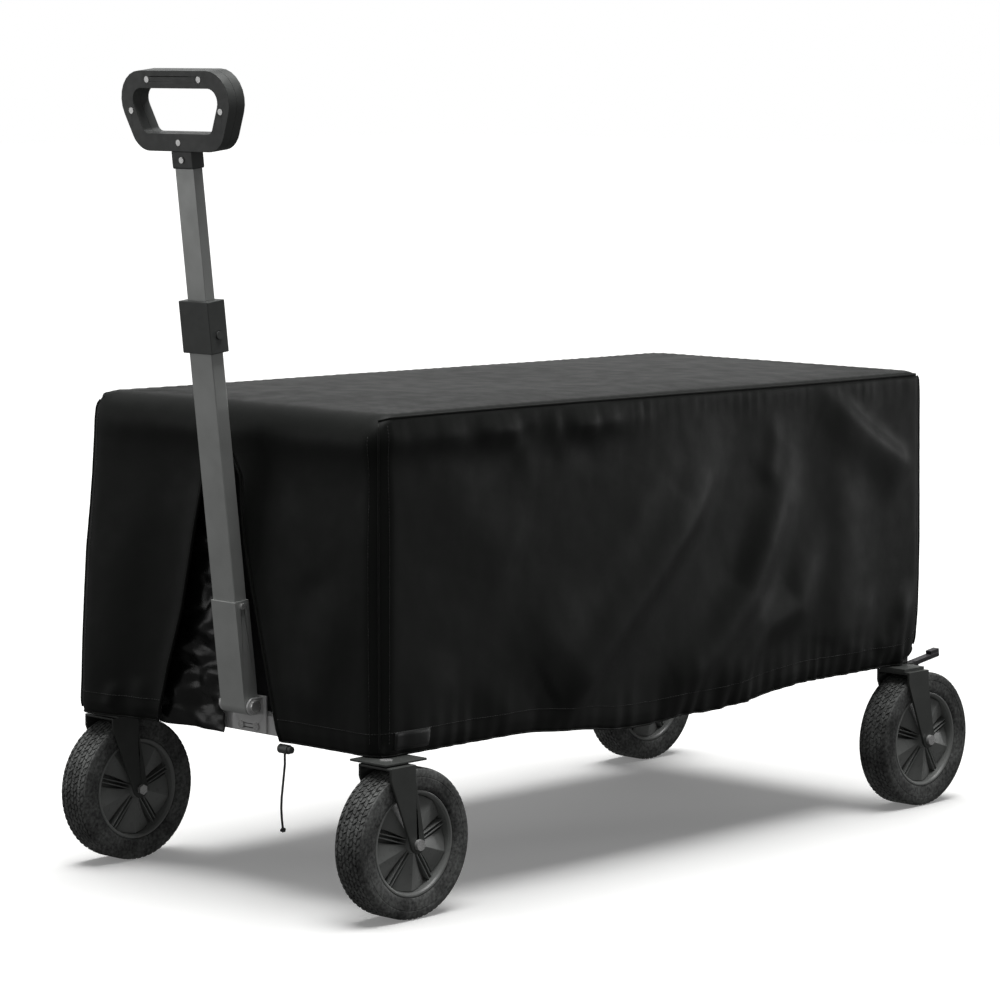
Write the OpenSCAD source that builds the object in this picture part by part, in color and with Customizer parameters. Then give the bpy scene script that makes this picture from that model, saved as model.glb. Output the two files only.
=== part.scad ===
// Folding camp wagon under a fitted cover, in millimetres.
// +Z is up, the pull handle is at the front (-Y), +X is the right-hand side seen from the front.
// The origin is on the ground in the middle of the wagon's overall box.

/* [Cover] */
// Length of the cover over its outside
cover_l = 1074; // [890:2:1290]
// Width of the cover over its outside
cover_w = 504; // [420:2:606]
// Height of the cover from its hem to its top
cover_h = 413; // [340:1:500]
// Thickness that each sewn panel takes up
cover_t = 3; // [2:0.5:4]
// Thickness of the drawstring in the hem
string_d = 2.4; // [2:0.2:2.6]

/* [Wheels] */
// Radius of the tyres
wheel_r = 95; // [80:1:115]
// Width of the tyres
wheel_w = 48; // [38:1:58]
// Radius of the rim inside the tyre
rim_r = 67; // [50:1:70]
// Radius of the axle bolts
axle_r = 5; // [4:0.5:6]
// How far a front wheel's axle trails behind its kingpin
trail = 27; // [20:1:32]

/* [End frames] */
// Side of the square corner posts
post = 22; // [18:1:22]
// Wall of the corner posts and cross tubes
post_wall = 1.5; // [1:0.25:2.5]
// Distance from the cover's end face to the middle of a post
post_inset = 37; // [34:1:45]
// Height of the lower cross tubes
cross_h = 25; // [20:1:30]

/* [Folding floor] */
// Side of the square floor tubes
bar = 16; // [12:1:18]
// Radius of the hinge pins
pin_r = 4; // [3:0.5:5]
// Gap between the edges of the floor mats and the basket's side walls
mat_gap = 10; // [6:1:25]
// Thickness of the floor mats
mat_t = 4; // [3:0.5:6]
// Thickness of the basket's cloth walls
basket_t = 3; // [2:0.5:4]

/* [Handle] */
// Forward lean of the pole at rest, in degrees
lean = 6.5; // [4:0.5:10]
// Width of the outer pole
pole_w = 42; // [38:1:50]
// Depth of the outer pole
pole_d = 20; // [18:1:24]
// Wall of the pole tubes
pole_wall = 1.5; // [1:0.25:2]
// Width of the inner pole
inner_w = 34; // [28:1:35]
// Depth of the inner pole
inner_d = 15; // [13:0.5:15.5]
// Height of the sleeve's top above the pivot, along the pole
sleeve_top = 520; // [440:1:520]
// Height of the grip's underside above the pivot, along the pole
grip_z = 707; // [705:1:850]
// Radius of the pivot bolt
pivot_r = 5; // [4:0.5:6]
// Width of the grip across its top corners
grip_w = 200; // [180:1:240]
// Height of the grip
grip_h = 100; // [95:1:130]
// Front-to-back depth of the grip
grip_d = 26; // [22:1:32]

/* [Fits] */
// Radial clearance of pins, axles and buttons in their bores
run_gap = 0.05; // [0.02:0.01:0.1]
// Gap between flat faces that move past each other
face_gap = 0.3; // [0.3:0.05:1]
// Gap around the sliding pole
slide_gap = 0.4; // [0.3:0.05:0.8]

/* [Hidden] */
$fn = 48;

// Heights that follow from the wheels
crown_z = 2 * wheel_r + 2;
crown_t = 3.5;
kingpin_head_t = 2;
kingpin_head_z = crown_z - kingpin_head_t;
race_gap = 0.5;
plate_z = crown_z + crown_t + 1.5;
plate_t = 3;
base_z = plate_z + plate_t;
hem_z = base_z + 2;
cross_z = hem_z;
hinge_z = base_z + bar / 2;
floor_top = hinge_z + bar / 2;
cover_top_z = hem_z + cover_h;
roof_z = cover_top_z - cover_t;
// Stations along the wagon
cover_mid_y = 18;
cover_front_y = cover_mid_y - cover_l / 2;
cover_rear_y = cover_mid_y + cover_l / 2;
front_post_y = cover_front_y + post_inset;
rear_post_y = cover_rear_y - post_inset;
front_fork_y = front_post_y - 33;
rear_fork_y = rear_post_y - 15;
cross_front_y = front_post_y - post / 2 - 9;
// Places across the wagon
post_x = cover_w / 2 - 20;
wheel_x = cover_w / 2 + 8;
block_x0 = post_x - post / 2 - 3;
block_x1 = post_x + post / 2 + 1.5;
// Corner mouldings
block_l = 36;
block_h = 36;
block_floor = 4;
cap_t = 3;
cap_side = post + 2;
cap_top = roof_z - 0.5;
post_top = cap_top - 12.5;
post_z0 = base_z + block_floor;
// Basket
basket_x = post_x - post / 2 - 3;
basket_top = post_top - 6;
top_tube = 20;
basket_front_y = front_post_y + top_tube / 2;
basket_rear_y = rear_post_y - top_tube / 2;
cross_rear_y = basket_rear_y + post / 2;
// Folding floor: the halves meet under the cover's top when they are raised
fold_headroom = 22;
floor_half = roof_z - hinge_z - fold_headroom;
front_hinge_y = cover_mid_y - floor_half;
rear_hinge_y = cover_mid_y + floor_half;
bar_gap = 2;
mat_w = 2 * (basket_x - basket_t - mat_gap);
mat_overhang = 11;
outer_bar_x = mat_w / 2 - mat_overhang - bar / 2;
inner_bar_x = outer_bar_x - bar - bar_gap;
bar_wall = 1.5;
rung_from_hinge = 40;
rung_from_centre = 100;
mat_from_hinge = 15;
ledge_from_hinge = 21;
pin_head_r = 7;
pin_head_t = 3;
// Wheels and forks
tyre_shoulder = 6;
web_t = 8;
boss_r = 15;
hub_rim_t = 6;
petals = 5;
fork_side_gap = 1.5;
fork_t = 3.5;
fork_in = wheel_w / 2 + fork_side_gap;
fork_out = fork_in + fork_t;
fork_foot_r = 12;
crown_front = 20;
crown_rear = 24;
plate_side = 44;
kingpin_r = 6;
race_r = 20;
axle_head_r = 7;
axle_head_t = 5;
// Brake pedals
brake_y = rear_fork_y + 39;
brake_z = crown_z + 3;
brake_pin_r = 2.5;
brake_hub_r = 5;
brake_lug_r = 4.5;
brake_w = 14;
brake_lug_t = 3;
brake_x = cover_w / 2 - cover_t - brake_lug_t - face_gap - brake_w / 2;
brake_rise = 8;
brake_reach = 66;
brake_plate_t = 6;
// Handle bracket and pivot
bracket_t = 3;
bracket_w = 64;
bracket_y = cross_front_y - bracket_t;
pivot_y = cross_front_y - 19;
pivot_z = cross_z + 38;
socket_wall = 1.5;
socket_gap = 0.2;
socket_w = pole_w + 2 * (socket_wall + socket_gap);
socket_d = pole_d + 2 * (socket_wall + socket_gap);
socket_h = 137;
ear_x = socket_w / 2 + 1;
ear_t = 3.5;
ear_r = 11;
pivot_head_r = 8;
pivot_head_t = 4.5;
screw_r = 5;
screw_x = 14;
// Sleeve and buttons
sleeve_h = 66;
sleeve_w = pole_w + 12;
sleeve_d = pole_d + 9;
sleeve_lid = 5;
pole_z0 = 20;
inner_z0 = sleeve_top - 220;
guide_h = 25;
snap_z = socket_h - 7;
snap_r = 4;
snap_proud = 3;
release_z = sleeve_top - 43;
release_r = 5;
release_proud = 2.5;
release_flange_r = 6.2;
// Grip
neck_h = 22;
neck_w = inner_w + 5;
neck_d = inner_d + 5;
grip_top_r = 38;
grip_low_r = 32;
grip_bar = 22;
grip_taper = 13;
shell_wall = 4;
grip_screw_r = 4;
grip_shank_r = 2;
// Slit in the front of the cover: [x, height above the hem] down the left edge, then up the right edge
slit = [[-42, 398], [-60, 350], [-70, 283], [-84, 218], [-98, 153], [-122, 73], [-140, -1],
    [77, -1], [58, 83], [40, 159], [20, 243], [6, 327]];
slit_margin = 15;
slit_rise = (cover_h - slit_margin) / slit[0][1];
rear_hem_up = 19;
gusset_t = 2;
gusset_x0 = -165;
gusset_x1 = -37;
gusset_h = 300;
// Drawstring, its lock and its hanging tail
string_z = hem_z + 5;
string_rear_z = string_z + rear_hem_up;
lock_x = 80;
lock_y = cover_front_y + cover_t / 2;
lock_z = hem_z - 10;
lock_r = 6;
lock_l = 16;
plunger_r = 4.5;
plunger_l = 9;
plunger_proud = 5;
knot_r = 2.6;
tail_d = 3;
// Tail's route down from the cord lock, measured from the lock's underside
tail_route = [[0, 0, 0], [0, 0, -7], [0, 0, -14], [-0.5, -0.5, -21], [-1, -1, -28], [-1.5, -1.5, -35],
    [-2, -2, -42], [-2.5, -2.5, -49], [-3, -3, -56], [-3.5, -3, -63], [-4, -3, -70], [-4, -2.5, -77],
    [-4, -2, -84], [-3.5, -1.5, -91], [-3, -1, -98]];

module mirrored() {
    children();
    mirror([1, 0, 0]) children();
}

// A box between two opposite corners
module block(low, high) {
    translate(low) cube(high - low);
}

// A cylinder along X from x0 to x1
module rod_x(r, x0, x1, y = 0, z = 0) {
    translate([x0, y, z]) rotate([0, 90, 0]) cylinder(r = r, h = x1 - x0);
}

// An outline in Y and Z, drawn out along X from x0 to x1
module profile_x(x0, x1) {
    translate([x0, 0, 0]) rotate([90, 0, 90]) linear_extrude(x1 - x0) children();
}

// An outline in X and Z, drawn out along Y from y0 to y1
module profile_y(y0, y1) {
    translate([0, y1, 0]) rotate([90, 0, 0]) linear_extrude(y1 - y0) children();
}

// A rectangular tube with its length along X
module tube_x(length, d, h, wall) {
    difference() {
        block([-length / 2, -d / 2, 0], [length / 2, d / 2, h]);
        block([-length, -d / 2 + wall, wall], [length, d / 2 - wall, h - wall]);
    }
}

// A rectangular tube with its length along Z
module tube_z(w, d, z0, z1, wall) {
    difference() {
        block([-w / 2, -d / 2, z0], [w / 2, d / 2, z1]);
        block([-w / 2 + wall, -d / 2 + wall, z0 - 1], [w / 2 - wall, d / 2 - wall, z1 + 1]);
    }
}

// ---------- end frames ----------

module posts(y) {
    color("dimgray") mirrored() translate([post_x, y, 0]) tube_z(post, post, post_z0, post_top, post_wall);
}

module cross_tubes(y, lower_y) {
    color("dimgray") {
        translate([0, lower_y, cross_z]) tube_x(2 * block_x0, post, cross_h, post_wall);
        translate([0, y, basket_top - top_tube]) tube_x(2 * (post_x - post / 2), top_tube, top_tube, post_wall);
    }
}

// Two blocks that hold the feet of the posts, and the caps on top of them
module corner_mouldings(y, y0) {
    color([0.1, 0.1, 0.1]) mirrored() {
        difference() {
            block([block_x0, y0, base_z], [block_x1, y0 + block_l, base_z + block_h]);
            translate([post_x - post / 2, y - post / 2, post_z0]) cube([post, post, block_h]);
        }
        difference() {
            translate([post_x - cap_side / 2, y - cap_side / 2, post_top - cap_t]) cube([cap_side, cap_side, cap_top - post_top + cap_t]);
            translate([post_x - post / 2, y - post / 2, post_top - cap_t - 1]) cube([post, post, cap_t + 1]);
        }
    }
}

// A pair of arms at x that reach from a cross tube's face at y0 to a hinge at hinge_y
module hinge_arms(x, y0, hinge_y) {
    low = min(y0, hinge_y);
    high = max(y0, hinge_y);
    color("dimgray") mirrored() difference() {
        union() {
            block([x - bar / 2, low, hinge_z - bar / 2], [x + bar / 2, high, hinge_z + bar / 2]);
            rod_x(bar / 2, x - bar / 2, x + bar / 2, hinge_y, hinge_z);
        }
        rod_x(pin_r + run_gap, x - bar, x + bar, hinge_y, hinge_z);
    }
}

// Hinge pins: the head touches the piece that holds the pin, and the far clip keeps off the one that turns
module hinge_pins(y, held_inside) {
    x0 = inner_bar_x - bar / 2 - (held_inside ? 0 : face_gap);
    x1 = outer_bar_x + bar / 2 + (held_inside ? face_gap : 0);
    color("silver") mirrored() {
        rod_x(pin_r, x0, x1, y, hinge_z);
        rod_x(pin_head_r, x0 - pin_head_t, x0, y, hinge_z);
        rod_x(pin_head_r, x1, x1 + pin_head_t, y, hinge_z);
    }
}

module front_posts() { posts(front_post_y); }
module rear_posts() { posts(rear_post_y); }
module front_cross_tubes() { cross_tubes(front_post_y, cross_front_y + post / 2); }
module rear_cross_tubes() { cross_tubes(rear_post_y, cross_rear_y); }
module front_corner_mouldings() { corner_mouldings(front_post_y, cross_front_y); }
module rear_corner_mouldings() { corner_mouldings(rear_post_y, rear_post_y - block_l / 2); }
module front_hinge_arms() { hinge_arms(outer_bar_x, cross_front_y + post, front_hinge_y); }
module rear_hinge_arms() { hinge_arms(inner_bar_x, cross_rear_y - post / 2, rear_hinge_y); }
module front_hinge_pins() { hinge_pins(front_hinge_y, false); }
module centre_hinge_pins() { hinge_pins(cover_mid_y, true); }
module rear_hinge_pins() { hinge_pins(rear_hinge_y, true); }

// ---------- basket and folding floor ----------

// An end wall of the basket with the fixed strip of floor sewn to it
module basket_end(wall_y0, wall_y1, ledge_y0, ledge_y1) {
    color([0.12, 0.12, 0.13]) {
        block([-basket_x, wall_y0, floor_top], [basket_x, wall_y1, basket_top]);
        block([-basket_x + basket_t, ledge_y0, floor_top], [basket_x - basket_t, ledge_y1, floor_top + mat_t]);
    }
}

module basket_side() {
    color([0.12, 0.12, 0.13]) {
        block([basket_x - basket_t, basket_front_y + basket_t, floor_top + 1],
            [basket_x, basket_rear_y - basket_t, basket_top]);
    }
}

// One half of the floor: two hinged tubes at x and the rungs between them
module floor_frame(x, end_y) {
    low = min(end_y, cover_mid_y);
    high = max(end_y, cover_mid_y);
    way = sign(cover_mid_y - end_y);
    color("dimgray") {
        mirrored() difference() {
            union() {
                block([x - bar / 2, low, hinge_z - bar / 2], [x + bar / 2, high, hinge_z + bar / 2]);
                rod_x(bar / 2, x - bar / 2, x + bar / 2, low, hinge_z);
                rod_x(bar / 2, x - bar / 2, x + bar / 2, high, hinge_z);
            }
            block([x - bar / 2 + bar_wall, low + bar, hinge_z - bar / 2 + bar_wall],
                [x + bar / 2 - bar_wall, high - bar, hinge_z + bar / 2 - bar_wall]);
            rod_x(pin_r + run_gap, x - bar, x + bar, low, hinge_z);
            rod_x(pin_r + run_gap, x - bar, x + bar, high, hinge_z);
        }
        for (y = [end_y + way * rung_from_hinge, (end_y + cover_mid_y) / 2, cover_mid_y - way * rung_from_centre]) {
            translate([0, y, hinge_z - bar / 2]) tube_x(2 * x - bar, bar, bar, bar_wall);
        }
    }
}

module mat(y0, y1) {
    color([0.14, 0.14, 0.15]) block([-mat_w / 2, y0, floor_top], [mat_w / 2, y1, floor_top + mat_t]);
}

module basket_front() {
    basket_end(basket_front_y, basket_front_y + basket_t, basket_front_y, front_hinge_y - ledge_from_hinge);
}
module basket_rear() {
    basket_end(basket_rear_y - basket_t, basket_rear_y, rear_hinge_y + ledge_from_hinge, basket_rear_y);
}
module basket_side_right() { basket_side(); }
module basket_side_left() { mirror([1, 0, 0]) basket_side(); }
module front_floor_frame() { floor_frame(inner_bar_x, front_hinge_y); }
module rear_floor_frame() { floor_frame(outer_bar_x, rear_hinge_y); }
module front_mat() { mat(front_hinge_y + mat_from_hinge, cover_mid_y - mat_from_hinge); }
module rear_mat() { mat(cover_mid_y + mat_from_hinge, rear_hinge_y - mat_from_hinge); }

// ---------- wheels, forks and brakes ----------

// Places its children at a wheel's centre: side is 1 for right and -1 for left
module at_wheel(side, fork_y) {
    translate([side * wheel_x, fork_y + trail, wheel_r]) children();
}

module tyre() {
    half = wheel_w / 2;
    color([0.13, 0.13, 0.13]) rotate([0, 90, 0]) rotate_extrude($fn = 96) polygon([
        [rim_r, -half + 2], [wheel_r - tyre_shoulder, -half], [wheel_r - 2, -half + 1.5],
        [wheel_r, -half + 5], [wheel_r, half - 5], [wheel_r - 2, half - 1.5],
        [wheel_r - tyre_shoulder, half], [rim_r, half - 2]]);
}

// A rim with a web, a centre boss and wedge-shaped petals that stand out of both faces
module hub() {
    half = wheel_w / 2;
    color([0.09, 0.09, 0.09]) difference() {
        union() {
            rotate([0, 90, 0]) rotate_extrude($fn = 96) polygon([
                [0, -half], [boss_r, -half], [boss_r, -web_t / 2], [rim_r - hub_rim_t, -web_t / 2],
                [rim_r - hub_rim_t, -half + 3], [rim_r, -half + 3], [rim_r, half - 3],
                [rim_r - hub_rim_t, half - 3], [rim_r - hub_rim_t, web_t / 2], [boss_r, web_t / 2],
                [boss_r, half], [0, half]]);
            for (k = [0 : petals - 1]) {
                rotate([180 + 360 * k / petals, 0, 0]) profile_x(-half + 8, half - 8) polygon(concat(
                    [for (a = [-26 : 13 : 26]) (rim_r - hub_rim_t / 2) * [sin(a), cos(a)]],
                    [for (a = [20 : -20 : -20]) (boss_r - 1) * [sin(a), cos(a)]]));
            }
        }
        rod_x(axle_r + run_gap, -wheel_w, wheel_w);
    }
}

// A fork about its kingpin: a crown and two tapered arms that reach back to the axle
module fork() {
    color([0.2, 0.21, 0.2]) difference() {
        union() {
            block([-fork_out, -crown_front, crown_z], [fork_out, crown_rear, crown_z + crown_t]);
            for (x0 = [-fork_out, fork_in]) {
                profile_x(x0, x0 + fork_t) polygon(concat(
                    [[-crown_front, crown_z + crown_t], [-crown_front, crown_z - 12]],
                    [for (a = [-170 : 15 : 10]) [trail + fork_foot_r * cos(a), wheel_r + fork_foot_r * sin(a)]],
                    [[crown_rear, crown_z - 16], [crown_rear, crown_z + crown_t]]));
            }
        }
        rod_x(axle_r, -fork_out - 1, fork_out + 1, trail, wheel_r);
        translate([0, 0, crown_z - 1]) cylinder(r = kingpin_r + run_gap, h = crown_t + 2);
    }
}

module axle() {
    color("silver") {
        rod_x(axle_r, -fork_out, fork_out);
        rod_x(axle_head_r, fork_out, fork_out + axle_head_t);
        rod_x(axle_head_r, -fork_out - axle_head_t, -fork_out, $fn = 6);
    }
}

module front_fork(side) { translate([side * wheel_x, front_fork_y, 0]) fork(); }
module front_fork_left() { front_fork(-1); }
module front_fork_right() { front_fork(1); }
module front_axle_left() { mirror([1, 0, 0]) at_wheel(1, front_fork_y) axle(); }
module front_axle_right() { at_wheel(1, front_fork_y) axle(); }
module tyre_front_left() { at_wheel(-1, front_fork_y) tyre(); }
module tyre_front_right() { at_wheel(1, front_fork_y) tyre(); }
module tyre_rear_left() { at_wheel(-1, rear_fork_y) tyre(); }
module tyre_rear_right() { at_wheel(1, rear_fork_y) tyre(); }
module hub_front_left() { at_wheel(-1, front_fork_y) hub(); }
module hub_front_right() { at_wheel(1, front_fork_y) hub(); }
module hub_rear_left() { at_wheel(-1, rear_fork_y) hub(); }
module hub_rear_right() { at_wheel(1, rear_fork_y) hub(); }

// A flat plate from under a corner moulding, between y0 and y1, out to the wheel
module outrigger(y0, y1) {
    block([block_x0, y0, plate_z], [wheel_x + plate_side / 2, y1, plate_z + plate_t]);
}

// Plates of the swivel casters, with the raised race that each fork turns under
module front_caster_plates() {
    color("silver") mirrored() difference() {
        union() {
            outrigger(front_fork_y - plate_side / 2, cross_front_y + block_l);
            translate([wheel_x, front_fork_y, crown_z + crown_t + race_gap]) cylinder(r = race_r, h = plate_t);
        }
        translate([wheel_x, front_fork_y, crown_z]) cylinder(r = kingpin_r, h = 20);
    }
}

module kingpins() {
    color("silver") mirrored() translate([wheel_x, front_fork_y, 0]) {
        translate([0, 0, kingpin_head_z]) cylinder(r = kingpin_r + 3, h = kingpin_head_t - run_gap);
        translate([0, 0, kingpin_head_z]) cylinder(r = kingpin_r, h = base_z - kingpin_head_z);
        translate([0, 0, base_z]) cylinder(r = kingpin_r + 2, h = 1);
    }
}

// Fixed rear forks, each welded under its own plate, with the lugs that carry the brake pedal
module rear_forks() {
    mirrored() {
        difference() {
            translate([wheel_x, rear_fork_y, 0]) fork();
            translate([wheel_x, rear_fork_y, crown_z - 1]) cylinder(r = kingpin_r + 2, h = crown_t + 2);
        }
        color("silver") {
            outrigger(rear_fork_y - plate_side / 2, rear_fork_y + plate_side / 2);
            translate([wheel_x - plate_side / 2, rear_fork_y - plate_side / 2, crown_z + crown_t])
                cube([plate_side, plate_side, plate_z - crown_z - crown_t]);
        }
        color([0.2, 0.21, 0.2]) for (s = [-1, 1]) {
            translate([brake_x + s * (brake_w / 2 + brake_lug_t / 2 + face_gap), 0, 0]) difference() {
                union() {
                    block([-brake_lug_t / 2, rear_fork_y + crown_rear - 4, brake_z - 3],
                        [brake_lug_t / 2, brake_y, plate_z + plate_t]);
                    rod_x(brake_lug_r, -brake_lug_t / 2, brake_lug_t / 2, brake_y, brake_z);
                }
                rod_x(brake_pin_r, -brake_lug_t, brake_lug_t, brake_y, brake_z);
            }
        }
    }
}

// Axle bolts of the rear wheels and the pins of the brake pedals
module rear_axles() {
    color("silver") mirrored() {
        at_wheel(1, rear_fork_y) axle();
        rod_x(brake_pin_r, brake_x - brake_w / 2 - brake_lug_t - face_gap,
            brake_x + brake_w / 2 + brake_lug_t + face_gap, brake_y, brake_z);
    }
}

// A foot pedal that presses a shoe onto the tyre
module brake_pedal() {
    half = brake_plate_t / 2;
    color([0.22, 0.21, 0.22]) translate([brake_x, brake_y, brake_z]) difference() {
        union() {
            rod_x(brake_hub_r, -brake_w / 2, brake_w / 2);
            rotate([brake_rise, 0, 0]) block([1 - brake_w / 2, 3, -half], [brake_w / 2 - 1, brake_reach, half]);
            rotate([brake_rise, 0, 0]) block([2 - brake_w / 2, brake_reach - 16, 1 - half],
                [brake_w / 2 - 2, brake_reach + 2, half + 5]);
            block([2 - brake_w / 2, 10, -5], [brake_w / 2 - 2, 20, 5]);
        }
        rod_x(brake_pin_r + run_gap, -brake_w, brake_w);
    }
}
module brake_pedal_right() { brake_pedal(); }
module brake_pedal_left() { mirror([1, 0, 0]) brake_pedal(); }

// ---------- pull handle ----------

// A clevis that carries the pole in front of the cross tube
module handle_bracket() {
    color("gray") difference() {
        union() {
            block([-bracket_w / 2, bracket_y, cross_z + 1], [bracket_w / 2, cross_front_y, pivot_z + 12]);
            mirrored() {
                block([ear_x, pivot_y, pivot_z - ear_r], [ear_x + ear_t, cross_front_y - 1, pivot_z + ear_r]);
                rod_x(ear_r, ear_x, ear_x + ear_t, pivot_y, pivot_z);
            }
        }
        rod_x(pivot_r, -bracket_w, bracket_w, pivot_y, pivot_z);
        mirrored() translate([screw_x, bracket_y - 1, cross_z + 9]) rotate([-90, 0, 0]) cylinder(r = screw_r / 2, h = 10);
    }
}

// The pivot bolt with its head and nut, and the two screws that hold the bracket to the cross tube
module handle_bolts() {
    x1 = ear_x + ear_t;
    color("silver") {
        rod_x(pivot_r, -x1, x1, pivot_y, pivot_z);
        rod_x(pivot_head_r, x1, x1 + pivot_head_t, pivot_y, pivot_z);
        rod_x(pivot_head_r, -x1 - pivot_head_t, -x1, pivot_y, pivot_z, $fn = 6);
        mirrored() translate([screw_x, bracket_y, cross_z + 9]) rotate([-90, 0, 0]) {
            translate([0, 0, -2]) cylinder(r = screw_r, h = 2);
            cylinder(r = screw_r / 2, h = bracket_t);
        }
    }
}

// Puts its children on the pole: local Z runs up the pole from the pivot and local -Y is its front
module on_pole() {
    translate([0, pivot_y, pivot_z]) rotate([lean, 0, 0]) children();
}

module handle_socket() {
    color("gray") on_pole() difference() {
        union() {
            rod_x(socket_d / 2, -socket_w / 2, socket_w / 2);
            block([-socket_w / 2, -socket_d / 2, 0], [socket_w / 2, socket_d / 2, socket_h]);
        }
        block([-socket_w / 2 + socket_wall, -socket_d / 2 + socket_wall, pole_z0],
            [socket_w / 2 - socket_wall, socket_d / 2 - socket_wall, socket_h + 1]);
        rod_x(pivot_r + run_gap, -socket_w, socket_w);
        rod_x(snap_r + run_gap, 0, socket_w, 0, snap_z);
    }
}

module pole_outer() {
    color("gray") on_pole() difference() {
        tube_z(pole_w, pole_d, pole_z0, sleeve_top - sleeve_lid, pole_wall);
        rod_x(snap_r + run_gap, 0, pole_w, 0, snap_z);
    }
}

// A moulded collar that closes the top of the outer pole around the inner one
module pole_sleeve() {
    lid_z = sleeve_top - sleeve_lid;
    color([0.19, 0.2, 0.19]) on_pole() difference() {
        block([-sleeve_w / 2, -sleeve_d / 2, sleeve_top - sleeve_h], [sleeve_w / 2, sleeve_d / 2, sleeve_top]);
        block([-pole_w / 2, -pole_d / 2, sleeve_top - sleeve_h - 1], [pole_w / 2, pole_d / 2, lid_z]);
        block([-inner_w / 2 - slide_gap, -inner_d / 2 - slide_gap, lid_z - 1],
            [inner_w / 2 + slide_gap, inner_d / 2 + slide_gap, sleeve_top + 1]);
        rod_x(release_r + run_gap, 0, sleeve_w, 0, release_z);
        rod_x(release_flange_r + run_gap, 0, sleeve_w / 2 - 2, 0, release_z);
    }
}

// A sprung pin that locks the pole into its socket
module snap_button() {
    color("silver") on_pole() {
        rod_x(snap_r, pole_w / 2 - 8, socket_w / 2 + snap_proud, 0, snap_z);
        rod_x(snap_r + 2, pole_w / 2 - pole_wall - 3.5, pole_w / 2 - pole_wall - 0.5, 0, snap_z);
    }
}

// The push button in the sleeve's side that frees the inner pole
module release_button() {
    x0 = sleeve_w / 2 - 3;
    color([0.12, 0.12, 0.12]) on_pole() {
        rod_x(release_r, x0, sleeve_w / 2 + release_proud, 0, release_z);
        rod_x(release_flange_r, x0, x0 + 0.9, 0, release_z);
    }
}

module pole_inner() {
    guide_w = pole_w - 2 * (pole_wall + slide_gap);
    guide_d = pole_d - 2 * (pole_wall + slide_gap);
    color("gray") on_pole() {
        tube_z(inner_w, inner_d, inner_z0, grip_z - 4, pole_wall);
        difference() {
            block([-guide_w / 2, -guide_d / 2, inner_z0], [guide_w / 2, guide_d / 2, inner_z0 + guide_h]);
            block([-inner_w / 2, -inner_d / 2, inner_z0 - 1], [inner_w / 2, inner_d / 2, inner_z0 + guide_h + 1]);
        }
    }
}

module grip_neck() {
    color([0.2, 0.21, 0.21]) on_pole() difference() {
        block([-neck_w / 2, -neck_d / 2, grip_z - neck_h], [neck_w / 2, neck_d / 2, grip_z]);
        block([-inner_w / 2, -inner_d / 2, grip_z - neck_h - 1], [inner_w / 2, inner_d / 2, grip_z - 4]);
        translate([0, -neck_d, grip_z - neck_h / 2]) rotate([-90, 0, 0]) cylinder(r = grip_shank_r, h = neck_d);
    }
}

// Angle of the straight side that touches a loop's top and bottom corner circles
function side_angle(top, low) = let (dx = top[0] - low[0], dz = top[1] - low[1])
    atan2(dz, dx) - acos((low[2] - top[2]) / norm([dx, dz]));

// Outline of a loop from its right-hand corner circles [x, z, radius], mirrored to the left
function loop_outline(top, low) = let (a = side_angle(top, low), right = concat(
    [for (k = [0 : 8]) [low[0], low[1]] + low[2] * [cos(-90 + (a + 90) * k / 8), sin(-90 + (a + 90) * k / 8)]],
    [for (k = [0 : 8]) [top[0], top[1]] + top[2] * [cos(a + (90 - a) * k / 8), sin(a + (90 - a) * k / 8)]]))
    concat(right, [for (k = [len(right) - 1 : -1 : 0]) [-right[k][0], right[k][1]]]);

grip_top_c = [grip_w / 2 - grip_top_r, grip_z + grip_h - grip_top_r];
grip_low_c = [grip_w / 2 - grip_taper - grip_low_r, grip_z + grip_low_r];
grip_screw_side_x = grip_w / 2 - grip_taper / 2 - grip_bar / 2;
grip_screw_places = [[-48, grip_z + grip_h - grip_bar / 2], [48, grip_z + grip_h - grip_bar / 2],
    [-grip_screw_side_x, grip_z + grip_h / 2], [grip_screw_side_x, grip_z + grip_h / 2], [0, grip_z + grip_bar / 2]];

// The band between the grip's outside, drawn in by inset, and its finger hole, widened by inset
module grip_band(inset) {
    difference() {
        polygon(loop_outline(concat(grip_top_c, grip_top_r - inset), concat(grip_low_c, grip_low_r - inset)));
        polygon(loop_outline(
            concat(grip_top_c, grip_top_r - grip_bar + inset),
            concat(grip_low_c, grip_low_r - grip_bar + inset)));
    }
}

// One half of the grip: way is -1 for the front shell and 1 for the rear one
module grip_shell(way) {
    deep = grip_d / 2;
    y = [min(0, way * deep), max(0, way * deep)];
    hollow = [min(0, way * (deep - shell_wall)) - 0.01, max(0, way * (deep - shell_wall)) + 0.01];
    color([0.22, 0.23, 0.23]) on_pole() difference() {
        union() {
            difference() {
                profile_y(y[0], y[1]) grip_band(0);
                profile_y(hollow[0], hollow[1]) grip_band(shell_wall);
            }
            for (p = grip_screw_places) {
                translate([p[0], y[0], p[1]]) rotate([-90, 0, 0]) cylinder(r = grip_screw_r + 2, h = deep);
            }
        }
        for (p = grip_screw_places) {
            translate([p[0], -deep - 1, p[1]]) rotate([-90, 0, 0]) {
                cylinder(r = grip_shank_r, h = 2 * deep - 3);
                cylinder(r = grip_screw_r + run_gap, h = 2.2);
            }
        }
    }
}

module grip_front_shell() { grip_shell(-1); }
module grip_rear_shell() { grip_shell(1); }

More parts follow.
